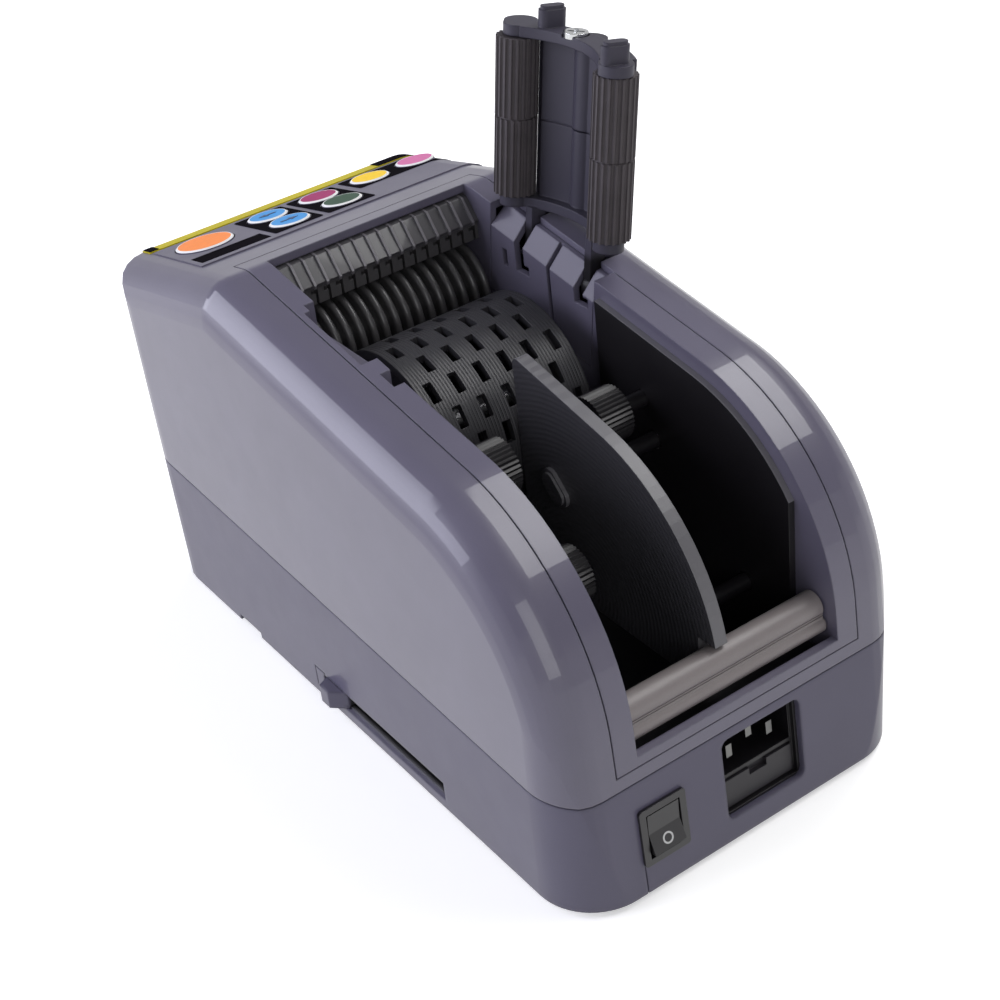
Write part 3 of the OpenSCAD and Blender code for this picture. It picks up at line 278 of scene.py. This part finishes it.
def swept_form(shade, where, normal):
    """Smooth normal of the rounded shoulders and the rear arch, on surfaces close to that form."""
    x, y, z = (where.part(axis) for axis in range(3))
    turn = shade.maths("ARCTAN2", z - ROLL_AT[1] * MM, y - ROLL_AT[0] * MM)
    turn = shade.maths("MINIMUM", shade.maths("MAXIMUM", turn, REAR_TILT), math.pi / 2 + RIM_TILT)
    arch = shade.node("CombineXYZ", None, {"Y": shade.maths("COSINE", turn), "Z": shade.maths("SINE", turn)})
    own = unit(shade, shade.vectors("MULTIPLY", normal, (0.0, 1.0, 1.0)))
    along = near_to(shade, own, arch, *ARCH_CLOSE)
    out = ((shade.maths("ABSOLUTE", x) - SHOULDER_START * MM) / (SHOULDER_R * MM)).between(0.0, 1.0)
    side = shade.node("CombineXYZ", None, {"X": out * shade.maths("SIGN", x)})
    rest = shade.maths("SQRT", 1.0 - out * out)
    upright = shade.node("VectorMath", {"operation": "SCALE"}, {0: along, "Scale": rest})
    return unit(shade, near_to(shade, normal, shade.vectors("ADD", side, upright), *FORM_CLOSE))


def unit(shade, vector):
    """A direction at length 1."""
    return shade.node("VectorMath", {"operation": "NORMALIZE"}, {0: vector})


def near_to(shade, first, second, low, high):
    """The second direction where the first lies close to it, and else the first."""
    close = shade.vectors("DOT_PRODUCT", first, second, out=1).between(low, high)
    return shade.node("Mix", {"data_type": "VECTOR"}, {0: close, 4: first, 5: second}, out=1)


def bumped(shade, height, distance, strength, normal):
    """Normal with a fine relief on it."""
    return shade.node("Bump", None, {"Height": height, "Distance": distance, "Strength": strength,
                                     "Normal": normal})


def lines_along(axis, pitch):
    """Relief of fine grooves, one each pitch along an axis."""
    def relief(shade, where):
        return (shade.maths("PINGPONG", where.part(axis) / pitch, 0.5) * 2.0).between(0.1, 0.45)
    return relief


def rings_about(y, z, pitch):
    """Relief of fine rings about an axis along X."""
    def relief(shade, where):
        off = off_axis(shade, where, (0.0, y, z), (0.0, 1.0, 1.0))
        return shade.maths("PINGPONG", off / pitch, 0.5) * 2.0
    return relief


def painted_rib_highlights(pitch, half, width, light):
    """Painted highlight: a paler band on each rib; ribs stand half a pitch off the piece's ends."""
    def paint(shade, where, base):
        wave = shade.maths("PINGPONG", (where.part(0) + half) / pitch, 0.5)
        return wave.between(0.5 - 1.5 * width / pitch, 0.5 - 0.7 * width / pitch).tint(base, colour(light))
    return paint


def dark_near(x, z, reach, dark):
    """Paint that turns dark close to an axis along Y."""
    def paint(shade, where, base):
        off = off_axis(shade, where, (x, 0.0, z), (1.0, 0.0, 1.0))
        return off.between(reach, reach * 0.8).tint(base, colour(dark))
    return paint


def painted_shade_within(x_half, y_half, dark):
    """Painted shade on what lies behind the side walls, between two places along the case."""
    def paint(shade, where, base):
        x, y = (shade.maths("ABSOLUTE", where.part(axis)) for axis in (0, 1))
        behind = x.between(x_half, x_half - INNER_SHADE_FADE) * (1.0 - (y > y_half))
        return behind.tint(base, colour(dark))
    return paint


def painted_edge_highlight(axis, light):
    """Painted highlight on the narrow faces round a plate that lies across an axis."""
    def paint(shade, where, base):
        flat = shade.maths("ABSOLUTE", face_way(shade).part(axis))
        return flat.between(0.7, 0.4).tint(base, colour(light))
    return paint


def painted_brim_highlight(above, light):
    """Painted highlight on upward faces above a height."""
    def paint(shade, where, base):
        upward = face_way(shade).part(2).between(0.3, 0.5)
        return (upward * (where.part(2) > above)).tint(base, colour(light))
    return paint


def off_axis(shade, where, middle, across):
    """Distance from a line through a point; across is 0 along the line and 1 elsewhere."""
    off = shade.vectors("MULTIPLY", shade.vectors("SUBTRACT", where, middle), across)
    return shade.node("VectorMath", {"operation": "LENGTH"}, {0: off}, out=1)


def moulded(name, base, rough, edge, spread=0.06, clear=0.0, shine=0.5, relief=None, raised=0.0,
            paint=None, form=None):
    """Moulded plastic: slight cloud in the colour, handled gloss, fine grain, soft edges."""
    material, shade, shader = new_material(name)
    where = place(shade)
    cloud = noise(shade, where, 35.0, detail=3.0)
    speck = noise(shade, where, GRAIN_SCALE, rough=0.6)
    handled = noise(shade, where, 90.0, detail=4.0, rough=0.6)
    dark = colour(toned(base, 1.0 - spread))
    light = colour(toned(base, 1.0 + spread))
    tone = (cloud * 0.7 + speck * 0.3).between(0.3, 0.7).tint(dark, light)
    feed(shade, shader, "Base Color", paint(shade, where, tone) if paint else tone)
    feed(shade, shader, "Roughness", rough + (handled - 0.5) * 0.14 + (speck - 0.5) * 0.05)
    normal = soft_edge(shade, edge)
    if form:
        normal = form(shade, where, normal)
    if relief:
        normal = bumped(shade, relief(shade, where), RELIEF_DEPTH, raised, normal)
    feed(shade, shader, "Normal", bumped(shade, speck, GRAIN_DEPTH, 0.35, normal))
    shader.inputs["Specular IOR Level"].default_value = shine
    shader.inputs["Coat Weight"].default_value = clear
    shader.inputs["Coat Roughness"].default_value = 0.04
    return material


def rubbery(name, base, edge):
    """Matt rubber with a dusty bloom."""
    material, shade, shader = new_material(name)
    where = place(shade)
    bloom = noise(shade, where, 160.0, detail=4.0, rough=0.65)
    fine = noise(shade, where, 3500.0)
    feed(shade, shader, "Base Color", bloom.between(0.35, 0.75).tint(
        colour(toned(base, 0.86)), colour(toned(base, 1.16))))
    feed(shade, shader, "Roughness", 0.56 + bloom * 0.2)
    feed(shade, shader, "Normal", bumped(shade, fine, 0.00003, 0.5, soft_edge(shade, edge)))
    return material


def turned_metal(name, base, rough, along):
    """Turned or brushed metal with fine lines across one axis."""
    material, shade, shader = new_material(name)
    where = place(shade)
    stretch = [900.0, 900.0, 900.0]
    stretch[along] = 40.0
    drawn = shade.node("Mapping", None, {"Vector": where, "Scale": tuple(stretch)})
    lines = noise(shade, drawn, 4.0, detail=3.0)
    stain = noise(shade, where, 120.0, detail=3.0)
    feed(shade, shader, "Base Color", stain.between(0.3, 0.8).tint(
        colour(toned(base, 0.88)), colour(base)))
    feed(shade, shader, "Roughness", rough + (lines - 0.5) * 0.22)
    feed(shade, shader, "Normal", bumped(shade, lines, 0.00002, 0.25, soft_edge(shade, 0.0002)))
    shader.inputs["Metallic"].default_value = 1.0
    return material


def from_axis(shade, x, s):
    """Distance from a button's axis, in millimetres, worked out in the panel's own directions."""
    where = place(shade)
    turned = shade.node("VectorRotate", {"rotation_type": "X_AXIS"}, {
        "Vector": where, "Center": (0.0, PANEL_EDGE[0] * MM, PANEL_EDGE[1] * MM), "Angle": -PANEL_TILT})
    return off_axis(shade, turned, (x * MM, (PANEL_EDGE[0] + s) * MM, 0.0), (1.0, 1.0, 0.0)) / MM


def printed_button(name, base, side, x, s, radius, rim):
    """Glossy key print with a pale outline round it, on a grey dome."""
    material, shade, shader = new_material(name)
    reach = from_axis(shade, x, s)
    outline = reach.between(radius - rim - 0.12, radius - rim)
    ink = noise(shade, place(shade), 700.0, detail=3.0)
    inside = ink.between(0.3, 0.75).tint(colour(toned(base, 0.92)), colour(base))
    up = (0.0, -math.sin(PANEL_TILT), math.cos(PANEL_TILT))
    facing = shade.vectors("DOT_PRODUCT", face_way(shade), up, out=1)
    top = outline.tint(inside, colour(KEY_RIM))
    feed(shade, shader, "Base Color", facing.between(0.4, 0.6).tint(colour(side), top))
    feed(shade, shader, "Roughness", 0.32 + ink * 0.12)
    feed(shade, shader, "Normal", bumped(shade, ink, 0.00001, 0.3, soft_edge(shade, 0.0002)))
    shader.inputs["Specular IOR Level"].default_value = 0.05
    return material


class DispenserColours(bpy.types.PropertyGroup):
    """Finish colours of the dispenser."""

    case: bpy.props.FloatVectorProperty(
        name="Case", description="Grey of the moulded case", subtype="COLOR", default=(0.122, 0.113, 0.160))
    dark: bpy.props.FloatVectorProperty(
        name="Dark plastic", description="Drum and divider", subtype="COLOR", default=(0.034, 0.033, 0.038))
    black: bpy.props.FloatVectorProperty(
        name="Black plastic", description="Liner, rings and wheels", subtype="COLOR",
        default=(0.009, 0.008, 0.010))
    rings: bpy.props.FloatVectorProperty(
        name="Ring black", description="Ring roller and comb", subtype="COLOR", default=(0.060, 0.058, 0.061))
    rubber: bpy.props.FloatVectorProperty(
        name="Roller rubber", description="Fluted press rollers", subtype="COLOR",
        default=(0.067, 0.057, 0.063))
    bar: bpy.props.FloatVectorProperty(
        name="Bar grey", description="Rear bar", subtype="COLOR", default=(0.230, 0.205, 0.205))
    guide: bpy.props.FloatVectorProperty(
        name="Guide grey", description="Ribbed tape guide", subtype="COLOR", default=(0.064, 0.061, 0.068))
    orange: bpy.props.FloatVectorProperty(
        name="Orange", description="Start button", subtype="COLOR", default=(0.93, 0.28, 0.075))
    blue: bpy.props.FloatVectorProperty(
        name="Blue", description="Two length buttons", subtype="COLOR", default=(0.070, 0.31, 0.68))
    magenta: bpy.props.FloatVectorProperty(
        name="Magenta", description="Stop button", subtype="COLOR", default=(0.34, 0.025, 0.13))
    green: bpy.props.FloatVectorProperty(
        name="Green", description="Dark green button", subtype="COLOR", default=(0.035, 0.080, 0.050))
    yellow: bpy.props.FloatVectorProperty(
        name="Yellow", description="Yellow button", subtype="COLOR", default=(0.90, 0.60, 0.030))
    pink: bpy.props.FloatVectorProperty(
        name="Pink", description="Pink button", subtype="COLOR", default=(0.62, 0.16, 0.36))
    strip: bpy.props.FloatVectorProperty(
        name="Strip", description="Plain strip along the panel", subtype="COLOR",
        default=(0.50, 0.42, 0.020))


class DispenserSizes(bpy.types.PropertyGroup):
    """Sizes of the dressing."""

    edge: bpy.props.FloatProperty(
        name="Case edge", description="Radius of moulded edges", default=0.0007, unit="LENGTH")
    base_edge: bpy.props.FloatProperty(
        name="Base edge", description="Radius of the base's moulded edges", default=0.0016, unit="LENGTH")
    fine_edge: bpy.props.FloatProperty(
        name="Fine edge", description="Radius of small moulded edges", default=0.0003, unit="LENGTH")
    print_t: bpy.props.FloatProperty(
        name="Print", description="Thickness of a printed patch", default=0.00012, unit="LENGTH")
    outline: bpy.props.FloatProperty(
        name="Key outline", description="Width of a key's pale outline", default=0.0007, unit="LENGTH")
    corner: bpy.props.FloatProperty(
        name="Patch corner", description="Corner radius of a printed patch", default=0.0008, unit="LENGTH")
    drum_line: bpy.props.FloatProperty(
        name="Drum line", description="Pitch of the fine lines round the drum", default=0.00102,
        unit="LENGTH")
    divider_line: bpy.props.FloatProperty(
        name="Divider line", description="Pitch of the fine rings on the divider", default=0.0016,
        unit="LENGTH")
    lens: bpy.props.FloatProperty(
        name="Lens", description="Focal length for a 36 mm sensor, in millimetres", default=68.70)


def colours():
    """Colours that the panel offers."""
    return bpy.context.scene.dispenser_colours


def sizes():
    """Sizes that the panel offers."""
    return bpy.context.scene.dispenser_sizes


def dress(material, *names):
    """Gives CAD nodes one finish."""
    for name in names:
        mesh = NODES[name].data
        mesh.materials.clear()
        mesh.materials.append(material)


def on_panel(x, s, h):
    """Point of the panel in metres, following the rounded shoulder beside it."""
    over = max(abs(x) - SHOULDER_START, 0.0)
    height = h - PANEL_SINK
    if over > 0.0:
        height = math.sqrt(max((SHOULDER_R + h) ** 2 - over ** 2, 0.0)) - SHOULDER_R - PANEL_SINK
    y = PANEL_EDGE[0] + s * math.cos(PANEL_TILT) - height * math.sin(PANEL_TILT)
    z = PANEL_EDGE[1] + s * math.sin(PANEL_TILT) + height * math.cos(PANEL_TILT)
    return Vector((x * MM, y * MM, z * MM))


def round_outline(x0, x1, s0, s1, r, steps=5):
    """Corner points of a rectangle with round corners."""
    points = []
    middles = ((x1 - r, s0 + r), (x1 - r, s1 - r), (x0 + r, s1 - r), (x0 + r, s0 + r))
    for (cx, cs), start in zip(middles, (-90, 0, 90, 180)):
        for k in range(steps + 1):
            a = math.radians(start + 90.0 * k / steps)
            points.append((cx + r * math.cos(a), cs + r * math.sin(a)))
    return points


def make_object(name, bm, material, body):
    """Makes a piece that rides with a body."""
    mesh = bpy.data.meshes.new(name)
    bmesh.ops.recalc_face_normals(bm, faces=bm.faces[:])
    bm.to_mesh(mesh)
    bm.free()
    mesh.materials.append(material)
    piece = bpy.data.objects.new(name, mesh)
    bpy.context.scene.collection.objects.link(piece)
    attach(piece, body)
    return piece


def print_plate(name, outline, lift, material, body="case"):
    """Thin closed plate printed on the panel, bent over the shoulder where it reaches it."""
    thick = sizes().print_t / MM
    bm = bmesh.new()
    bm.faces.new([bm.verts.new((x, s, lift)) for x, s in outline])
    low, high = min(x for x, _ in outline), max(x for x, _ in outline)
    for cut in SHOULDER_CUTS:
        if low < cut - CUT_MARGIN and high > cut + CUT_MARGIN:
            bmesh.ops.bisect_plane(bm, geom=bm.verts[:] + bm.edges[:] + bm.faces[:], plane_co=(cut, 0, 0),
                                   plane_no=(1, 0, 0))
    grown = bmesh.ops.extrude_face_region(bm, geom=bm.faces[:])
    for v in grown["geom"]:
        if isinstance(v, bmesh.types.BMVert):
            v.co.z += thick
    for v in bm.verts:
        v.co = on_panel(v.co.x, v.co.y, v.co.z)
    return make_object(name, bm, material, body)


def flat_ring(name, inner, outer, thick, matrix, material, body, slot_name, steps=32):
    """Thin raised ring."""
    bm = bmesh.new()
    loops = []
    for r, h in ((inner, 0.0), (outer, 0.0), (outer, thick), (inner, thick)):
        loops.append([bm.verts.new(matrix @ Vector((r * math.cos(2 * math.pi * k / steps) * MM, h * MM,
                                                    r * math.sin(2 * math.pi * k / steps) * MM)))
                      for k in range(steps)])
    for a, b in zip(loops, loops[1:] + loops[:1]):
        for k in range(steps):
            n = (k + 1) % steps
            bm.faces.new((a[k], a[n], b[n], b[k]))
    return make_object(name, bm, material, body)


def rays(shade):
    """Camera rays, and those of reflection or transmission, which show the pale surround too."""
    camera, glossy, through = (shade.node("LightPath", out=name)
                               for name in ("Is Camera Ray", "Is Glossy Ray", "Is Transmission Ray"))
    return camera, shade.maths("MAXIMUM", glossy, through)


def glow(shade, strength):
    """White light from a surface."""
    return shade.node("Emission", None, {"Color": colour(WHITE), "Strength": strength})


class DISPENSER_OT_case(bpy.types.Operator):
    """Finish of the case shells, rims and hinge cover"""

    bl_idname = "dispenser.case"
    bl_label = "Case"

    def execute(self, context):
        c = colours()
        case = moulded("case_grey", c.case, 0.32, sizes().edge, clear=0.6, shine=0.3, form=swept_form)
        # Base: painted shade, as a darker share of the case grey, and ring black painted inside its walls
        base = [v * share for v, share in zip(c.case, BASE_SHADE_SHARE)]
        low = moulded("base_grey_painted_shade", base, 0.36, sizes().base_edge, clear=0.25, shine=0.2,
                      paint=painted_shade_within(INNER_SHADE_HALF, INNER_SHADE_REACH, c.rings))
        dress(case, "upper_cover", "well_frame")
        dress(moulded("cover_grey", c.case, 0.40, sizes().edge, clear=0.15, shine=0.3), "hinge_cover")
        dress(low, "base_shell", "side_slider")
        dress(moulded("front_mouth_dark", c.dark, 0.45, sizes().fine_edge), "front_mouth", "tape_deck")
        dress(rubbery("foot_rubber", FOOT_BLACK, 0.0004), "feet")
        dress(turned_metal("screw_steel", SCREW_STEEL, 0.35, 2), "base_screws")
        return {"FINISHED"}


class DISPENSER_OT_well(bpy.types.Operator):
    """Finish of the well's liner, divider, wheels and rear bar"""

    bl_idname = "dispenser.well"
    bl_label = "Tape well"

    def execute(self, context):
        c = colours()
        fine = sizes().fine_edge
        # The liner's upward top edge gets a painted highlight
        brim = painted_brim_highlight(BRIM_HIGHLIGHT_FROM, BRIM_HIGHLIGHT_GREY)
        dress(moulded("liner_black_brim_highlight", c.black, 0.42, 0.0003, paint=brim), "well_tub")
        rings = rings_about(ROLL_AT[0] * MM, ROLL_AT[1] * MM, sizes().divider_line)
        # The divider's narrow edges get a painted highlight; its rings are relief
        dress(moulded("divider_grey_edge_highlight", toned(c.dark, 1.4), 0.36, 0.0004, relief=rings, raised=0.32,
                      paint=painted_edge_highlight(0, DIVIDER_EDGE_HIGHLIGHT)), "divider")
        dress(moulded("wheel_black", c.black, 0.34, 0.0001, shine=0.4), "guide_wheel_1", "guide_wheel_2",
              "guide_wheel_3")
        dress(moulded("bar_grey", c.bar, 0.40, fine, spread=0.10), "rear_bar")
        dress(moulded("rod_black", c.black, 0.40, fine, shine=0.3), "divider_rods", "wheel_axles")
        return {"FINISHED"}


class DISPENSER_OT_feed(bpy.types.Operator):
    """Finish of the drum, ring roller, comb and guide"""

    bl_idname = "dispenser.feed"
    bl_label = "Feed rollers"

    def execute(self, context):
        c = colours()
        fine = sizes().fine_edge
        dress(moulded("drum_dark", c.dark, 0.40, fine, relief=lines_along(0, sizes().drum_line),
                      raised=0.55), "feed_drum")
        dress(moulded("ring_black", c.rings, 0.36, fine, clear=0.2), "feed_roller")
        dress(moulded("comb_black", c.rings, 0.42, fine), "tooth_bar")
        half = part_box("upper_guide")[1][0]
        # Each rib of the guide gets a painted highlight
        ribs = painted_rib_highlights(2.0 * half / GUIDE_RIBS, half, RIB_HIGHLIGHT_W, toned(c.guide, 2.6))
        dress(moulded("guide_grey_rib_highlights", c.guide, 0.34, fine, spread=0.08, clear=0.3, paint=ribs), "upper_guide")
        dress(turned_metal("axle_steel", AXLE_STEEL, 0.30, 0), "drum_axle", "feed_shaft")
        return {"FINISHED"}


class DISPENSER_OT_lid(bpy.types.Operator):
    """Finish of the press lid, its rollers, pin and screw"""

    bl_idname = "dispenser.lid"
    bl_label = "Press lid"

    def execute(self, context):
        c = colours()
        arms = dark_near(HINGE_AT[0] * MM, HINGE_AT[1] * MM, ARM_REACH, c.black)
        dress(moulded("lid_grey", toned(c.case, 0.42), 0.42, 0.0006, shine=0.25, paint=arms),
              "press_lid")
        dress(rubbery("press_rubber", c.rubber, 0.00025), "press_roller_front", "press_roller_rear")
        dress(turned_metal("pin_steel", PIN_STEEL, 0.28, 1), "hinge_pin", "press_axles")
        dress(turned_metal("screw_chrome", SCREW_CHROME, 0.16, 2), "lid_screw")
        return {"FINISHED"}


class DISPENSER_OT_rear(bpy.types.Operator):
    """Finish of the mains inlet, fuse drawer and power switch, with the switch mark"""

    bl_idname = "dispenser.rear"
    bl_label = "Rear wall"

    def execute(self, context):
        c = colours()
        fine = sizes().fine_edge
        dress(moulded("inlet_black", c.black, 0.38, fine), "mains_inlet")
        dress(moulded("switch_black", toned(c.black, 1.3), 0.30, fine, clear=0.3), "switch_frame",
              "rocker")
        dress(moulded("drawer_dark", toned(c.black, 2.2), 0.45, fine), "fuse_drawer")
        dress(turned_metal("contact_steel", CONTACT_STEEL, 0.34, 1), "inlet_pins")
        mark = moulded("switch_mark", MARK_GREY, 0.5, 0.00005)
        rest = (Matrix.Translation(Vector(SWITCH_AT) * MM) @ Matrix.Rotation(REAR_TILT, 4, "X")
                @ Matrix.Translation((0, -ROCKER_SINK * MM, 0)) @ Matrix.Rotation(ROCKER_REST, 4, "X"))
        seat = rest @ Matrix.Translation(Vector(MARK_AT) * MM) @ Matrix.Rotation(MARK_TILT, 4, "X")
        flat_ring("switch_off_mark", *MARK_RING, seat, mark, "rocker", "steel")
        return {"FINISHED"}


class DISPENSER_OT_panel(bpy.types.Operator):
    """Panel film, bare strip and bar, dark patches and printed keys"""

    bl_idname = "dispenser.panel"
    bl_label = "Control panel"

    def execute(self, context):
        c = colours()
        dress(moulded("film_grey", toned(c.case, 0.92), 0.40, 0.0002, clear=0.1), "panel_overlay")
        dress(moulded("strip_yellow", c.strip, 0.38, 0.0002, spread=0.10, shine=0.05), "caution_strip")
        ink = moulded("panel_black", c.black, 0.50, 0.0001, shine=0.0)
        dress(ink, "name_bar")
        above = FILM_T + PRINT_LIFT
        for name, x0, x1, s0, s1 in PATCHES:
            plate = print_plate(name, round_outline(x0, x1, s0, s1, sizes().corner / MM), above, ink)
            self.cut_keys(plate)
        for name, x0, x1 in STRIP_ENDS:
            print_plate(name, round_outline(x0, x1, *STRIP_SPAN, STRIP_CORNER), above, ink)
        rim = sizes().outline / MM
        inks = {"start_button": c.orange, "blue_button_1": c.blue, "blue_button_2": c.blue,
                "magenta_button": c.magenta, "green_button": c.green, "yellow_button": c.yellow,
                "pink_button": c.pink}
        for name, (x, s, r) in BUTTONS.items():
            dress(printed_button("ink_" + name, inks[name], c.case, x, s, r, rim), name)
        arrow_ink = moulded("arrow_ink", ARROW_INK, 0.4, 0.0001)
        for name, way in (("blue_button_1", 1.0), ("blue_button_2", -1.0)):
            self.arrow(name, way, arrow_ink)
        return {"FINISHED"}

    @staticmethod
    def cut_keys(plate):
        """Opens a patch where the keys stand."""
        tool_mesh = bpy.data.meshes.new("key_cut")
        bm = bmesh.new()
        for x, s, r in BUTTONS.values():
            matrix = (Matrix.Translation(Vector((x, 0, 0)) * MM)
                      @ Matrix.Translation((0, PANEL_EDGE[0] * MM, PANEL_EDGE[1] * MM))
                      @ Matrix.Rotation(PANEL_TILT, 4, "X") @ Matrix.Translation((0, s * MM, 0)))
            hole = (r + KEY_GAP) * MM
            bmesh.ops.create_cone(bm, cap_ends=True, segments=64, radius1=hole, radius2=hole, depth=0.02,
                                  matrix=matrix)
        bm.to_mesh(tool_mesh)
        bm.free()
        tool = bpy.data.objects.new("key_cut", tool_mesh)
        bpy.context.scene.collection.objects.link(tool)
        cut = plate.modifiers.new("keys", "BOOLEAN")
        cut.operation = "DIFFERENCE"
        cut.solver = "EXACT"
        cut.object = tool
        graph = bpy.context.evaluated_depsgraph_get()
        done = bpy.data.meshes.new_from_object(plate.evaluated_get(graph))
        plate.modifiers.clear()
        plate.data = done
        bpy.data.objects.remove(tool)

    @staticmethod
    def arrow(name, way, material):
        """Small arrow that lies on a key."""
        x, s, _ = BUTTONS[name]
        points = [(x + way * a, s + b) for a, b in ARROW_SHAPE]
        print_plate(name + "_arrow", points, BUTTON_TOP + PANEL_SINK + ARROW_LIFT, material, name)


class DISPENSER_OT_works(bpy.types.Operator):
    """Finish of the inner works: gears, motors, cutter and boards"""

    bl_idname = "dispenser.works"
    bl_label = "Inner works"

    def execute(self, context):
        fine = sizes().fine_edge
        dress(moulded("gear_white", GEAR_WHITE, 0.40, fine), "drum_gear", "feed_gear", "feed_idler",
              "motor_idler", "crank_disc")
        dress(turned_metal("bush_brass", BUSH_BRASS, 0.30, 0), "shaft_bushes", "motor_pinion")
        dress(turned_metal("works_steel", WORKS_STEEL, 0.32, 0), "idler_axles", "feed_motor",
              "cutter_frame", "fixed_blade", "moving_blade", "cutter_motor")
        dress(moulded("board_green", BOARD_GREEN, 0.38, 0.0002, spread=0.15), "control_board",
              "power_board")
        return {"FINISHED"}


class DISPENSER_OT_stage(bpy.types.Operator):
    """Pale floor, soft studio lights, white surround and the camera"""

    bl_idname = "dispenser.stage"
    bl_label = "Stage"

    def execute(self, context):
        self.floor()
        self.backdrop()
        self.world(context)
        for lamp in LAMPS:
            self.lamp(*lamp)
        self.camera(context)
        context.scene.view_settings.view_transform = "Standard"
        return {"FINISHED"}

    @staticmethod
    def stand(name, bm, material):
        """Puts a piece of the stage in the scene."""
        mesh = bpy.data.meshes.new(name)
        bm.to_mesh(mesh)
        bm.free()
        mesh.materials.append(material)
        piece = bpy.data.objects.new(name, mesh)
        bpy.context.scene.collection.objects.link(piece)
        return piece

    def floor(self):
        """White floor that keeps the shadow, and that reflections show as plain white."""
        bm = bmesh.new()
        bmesh.ops.create_grid(bm, x_segments=1, y_segments=1, size=FLOOR_HALF)
        material = bpy.data.materials.new("floor_white")
        shade = bare_tree(material)
        camera, mirrored = rays(shade)
        diffuse = shade.node("BsdfDiffuse", None, {"Color": STAGE_PAINT})
        lit = shade.node("AddShader", None, {0: diffuse, 1: glow(shade, FLOOR_GLOW)})
        direct = shade.node("MixShader", None, {0: camera, 1: diffuse, 2: lit})
        mixed = shade.node("MixShader", None, {0: mirrored, 1: direct, 2: glow(shade, 1.0)})
        shade.node("OutputMaterial", None, {"Surface": mixed})
        floor = self.stand("floor", bm, material)

    def backdrop(self):
        """Pale round wall, some way off, that meets the floor's far tone in low views."""
        bm = bmesh.new()
        bmesh.ops.create_cone(bm, cap_ends=False, segments=128, radius1=WALL_R, radius2=WALL_R, depth=WALL_H,
                              matrix=Matrix.Translation((0.0, 0.0, WALL_H / 2)))
        material = bpy.data.materials.new("backdrop_pale")
        shade = bare_tree(material)
        camera, mirrored = rays(shade)
        diffuse = shade.node("BsdfDiffuse", None, {"Color": STAGE_PAINT})
        seen = shade.maths("MAXIMUM", camera, mirrored)
        mixed = shade.node("MixShader", None, {0: seen, 1: diffuse, 2: glow(shade, WALL_TONE)})
        shade.node("OutputMaterial", None, {"Surface": mixed})
        wall = self.stand("backdrop", bm, material)

    @staticmethod
    def world(context):
        """Weak even sky."""
        world = bpy.data.worlds.new("studio")
        context.scene.world = world
        shade = bare_tree(world)
        soft = shade.node("Background", None, {"Color": SKY_TINT, "Strength": SKY_LEVEL})
        shade.node("OutputWorld", None, {"Surface": soft})

    @staticmethod
    def lamp(name, where, target, size, power, tint, in_gloss):
        """Soft lamp that looks at a target."""
        light = bpy.data.lights.new(name, "AREA")
        light.color = tint
        light.shape = "RECTANGLE"
        light.size, light.size_y = size
        light.energy = power
        lamp = bpy.data.objects.new(name, light)
        lamp.location = where
        lamp.rotation_euler = (Vector(target) - Vector(where)).to_track_quat("-Z", "Y").to_euler()
        lamp.visible_glossy = in_gloss
        bpy.context.scene.collection.objects.link(lamp)

    @staticmethod
    def camera(context):
        """Camera at the photograph's place, angle and roll."""
        azimuth, elevation, roll = (math.radians(a) for a in CAMERA_TURN)
        back = Vector((math.sin(azimuth) * math.cos(elevation), -math.cos(azimuth) * math.cos(elevation),
                       math.sin(elevation)))
        right = (-back).cross(Vector((0, 0, 1))).normalized()
        up = right.cross(-back)
        c, s = math.cos(roll), math.sin(roll)
        side, head = right * c + up * s, up * c - right * s
        data = bpy.data.cameras.new("photo_camera")
        data.sensor_width = SENSOR_W
        data.lens = sizes().lens
        data.clip_start = 0.01
        camera = bpy.data.objects.new("photo_camera", data)
        matrix = Matrix((side, head, back)).transposed().to_4x4()
        matrix.translation = Vector(CAMERA_AT) * MM
        camera.matrix_world = matrix
        context.scene.collection.objects.link(camera)
        context.scene.camera = camera


class DISPENSER_PT_panel(bpy.types.Panel):
    """Lists the steps of the dressing"""

    bl_idname = "DISPENSER_PT_panel"
    bl_label = "Tape dispenser"
    bl_space_type = "VIEW_3D"
    bl_region_type = "UI"
    bl_category = "Dispenser"

    def draw(self, context):
        for operator in OPERATORS:
            self.layout.operator(operator.bl_idname)
        for group in (context.scene.dispenser_colours, context.scene.dispenser_sizes):
            for name in group.__annotations__:
                self.layout.prop(group, name)


OPERATORS = (DISPENSER_OT_case, DISPENSER_OT_well, DISPENSER_OT_feed, DISPENSER_OT_lid, DISPENSER_OT_rear,
             DISPENSER_OT_panel, DISPENSER_OT_works, DISPENSER_OT_stage)
CLASSES = (DispenserColours, DispenserSizes, *OPERATORS, DISPENSER_PT_panel)


def register():
    for cls in CLASSES:
        bpy.utils.register_class(cls)
    bpy.types.Scene.dispenser_colours = bpy.props.PointerProperty(type=DispenserColours)
    bpy.types.Scene.dispenser_sizes = bpy.props.PointerProperty(type=DispenserSizes)


def unregister():
    del bpy.types.Scene.dispenser_sizes
    del bpy.types.Scene.dispenser_colours
    for cls in reversed(CLASSES):
        bpy.utils.unregister_class(cls)


def main():
    register()
    bpy.ops.dispenser.case()
    bpy.ops.dispenser.well()
    bpy.ops.dispenser.feed()
    bpy.ops.dispenser.lid()
    bpy.ops.dispenser.rear()
    bpy.ops.dispenser.panel()
    bpy.ops.dispenser.works()
    bpy.ops.dispenser.stage()


if __name__ == "__main__":
    main()
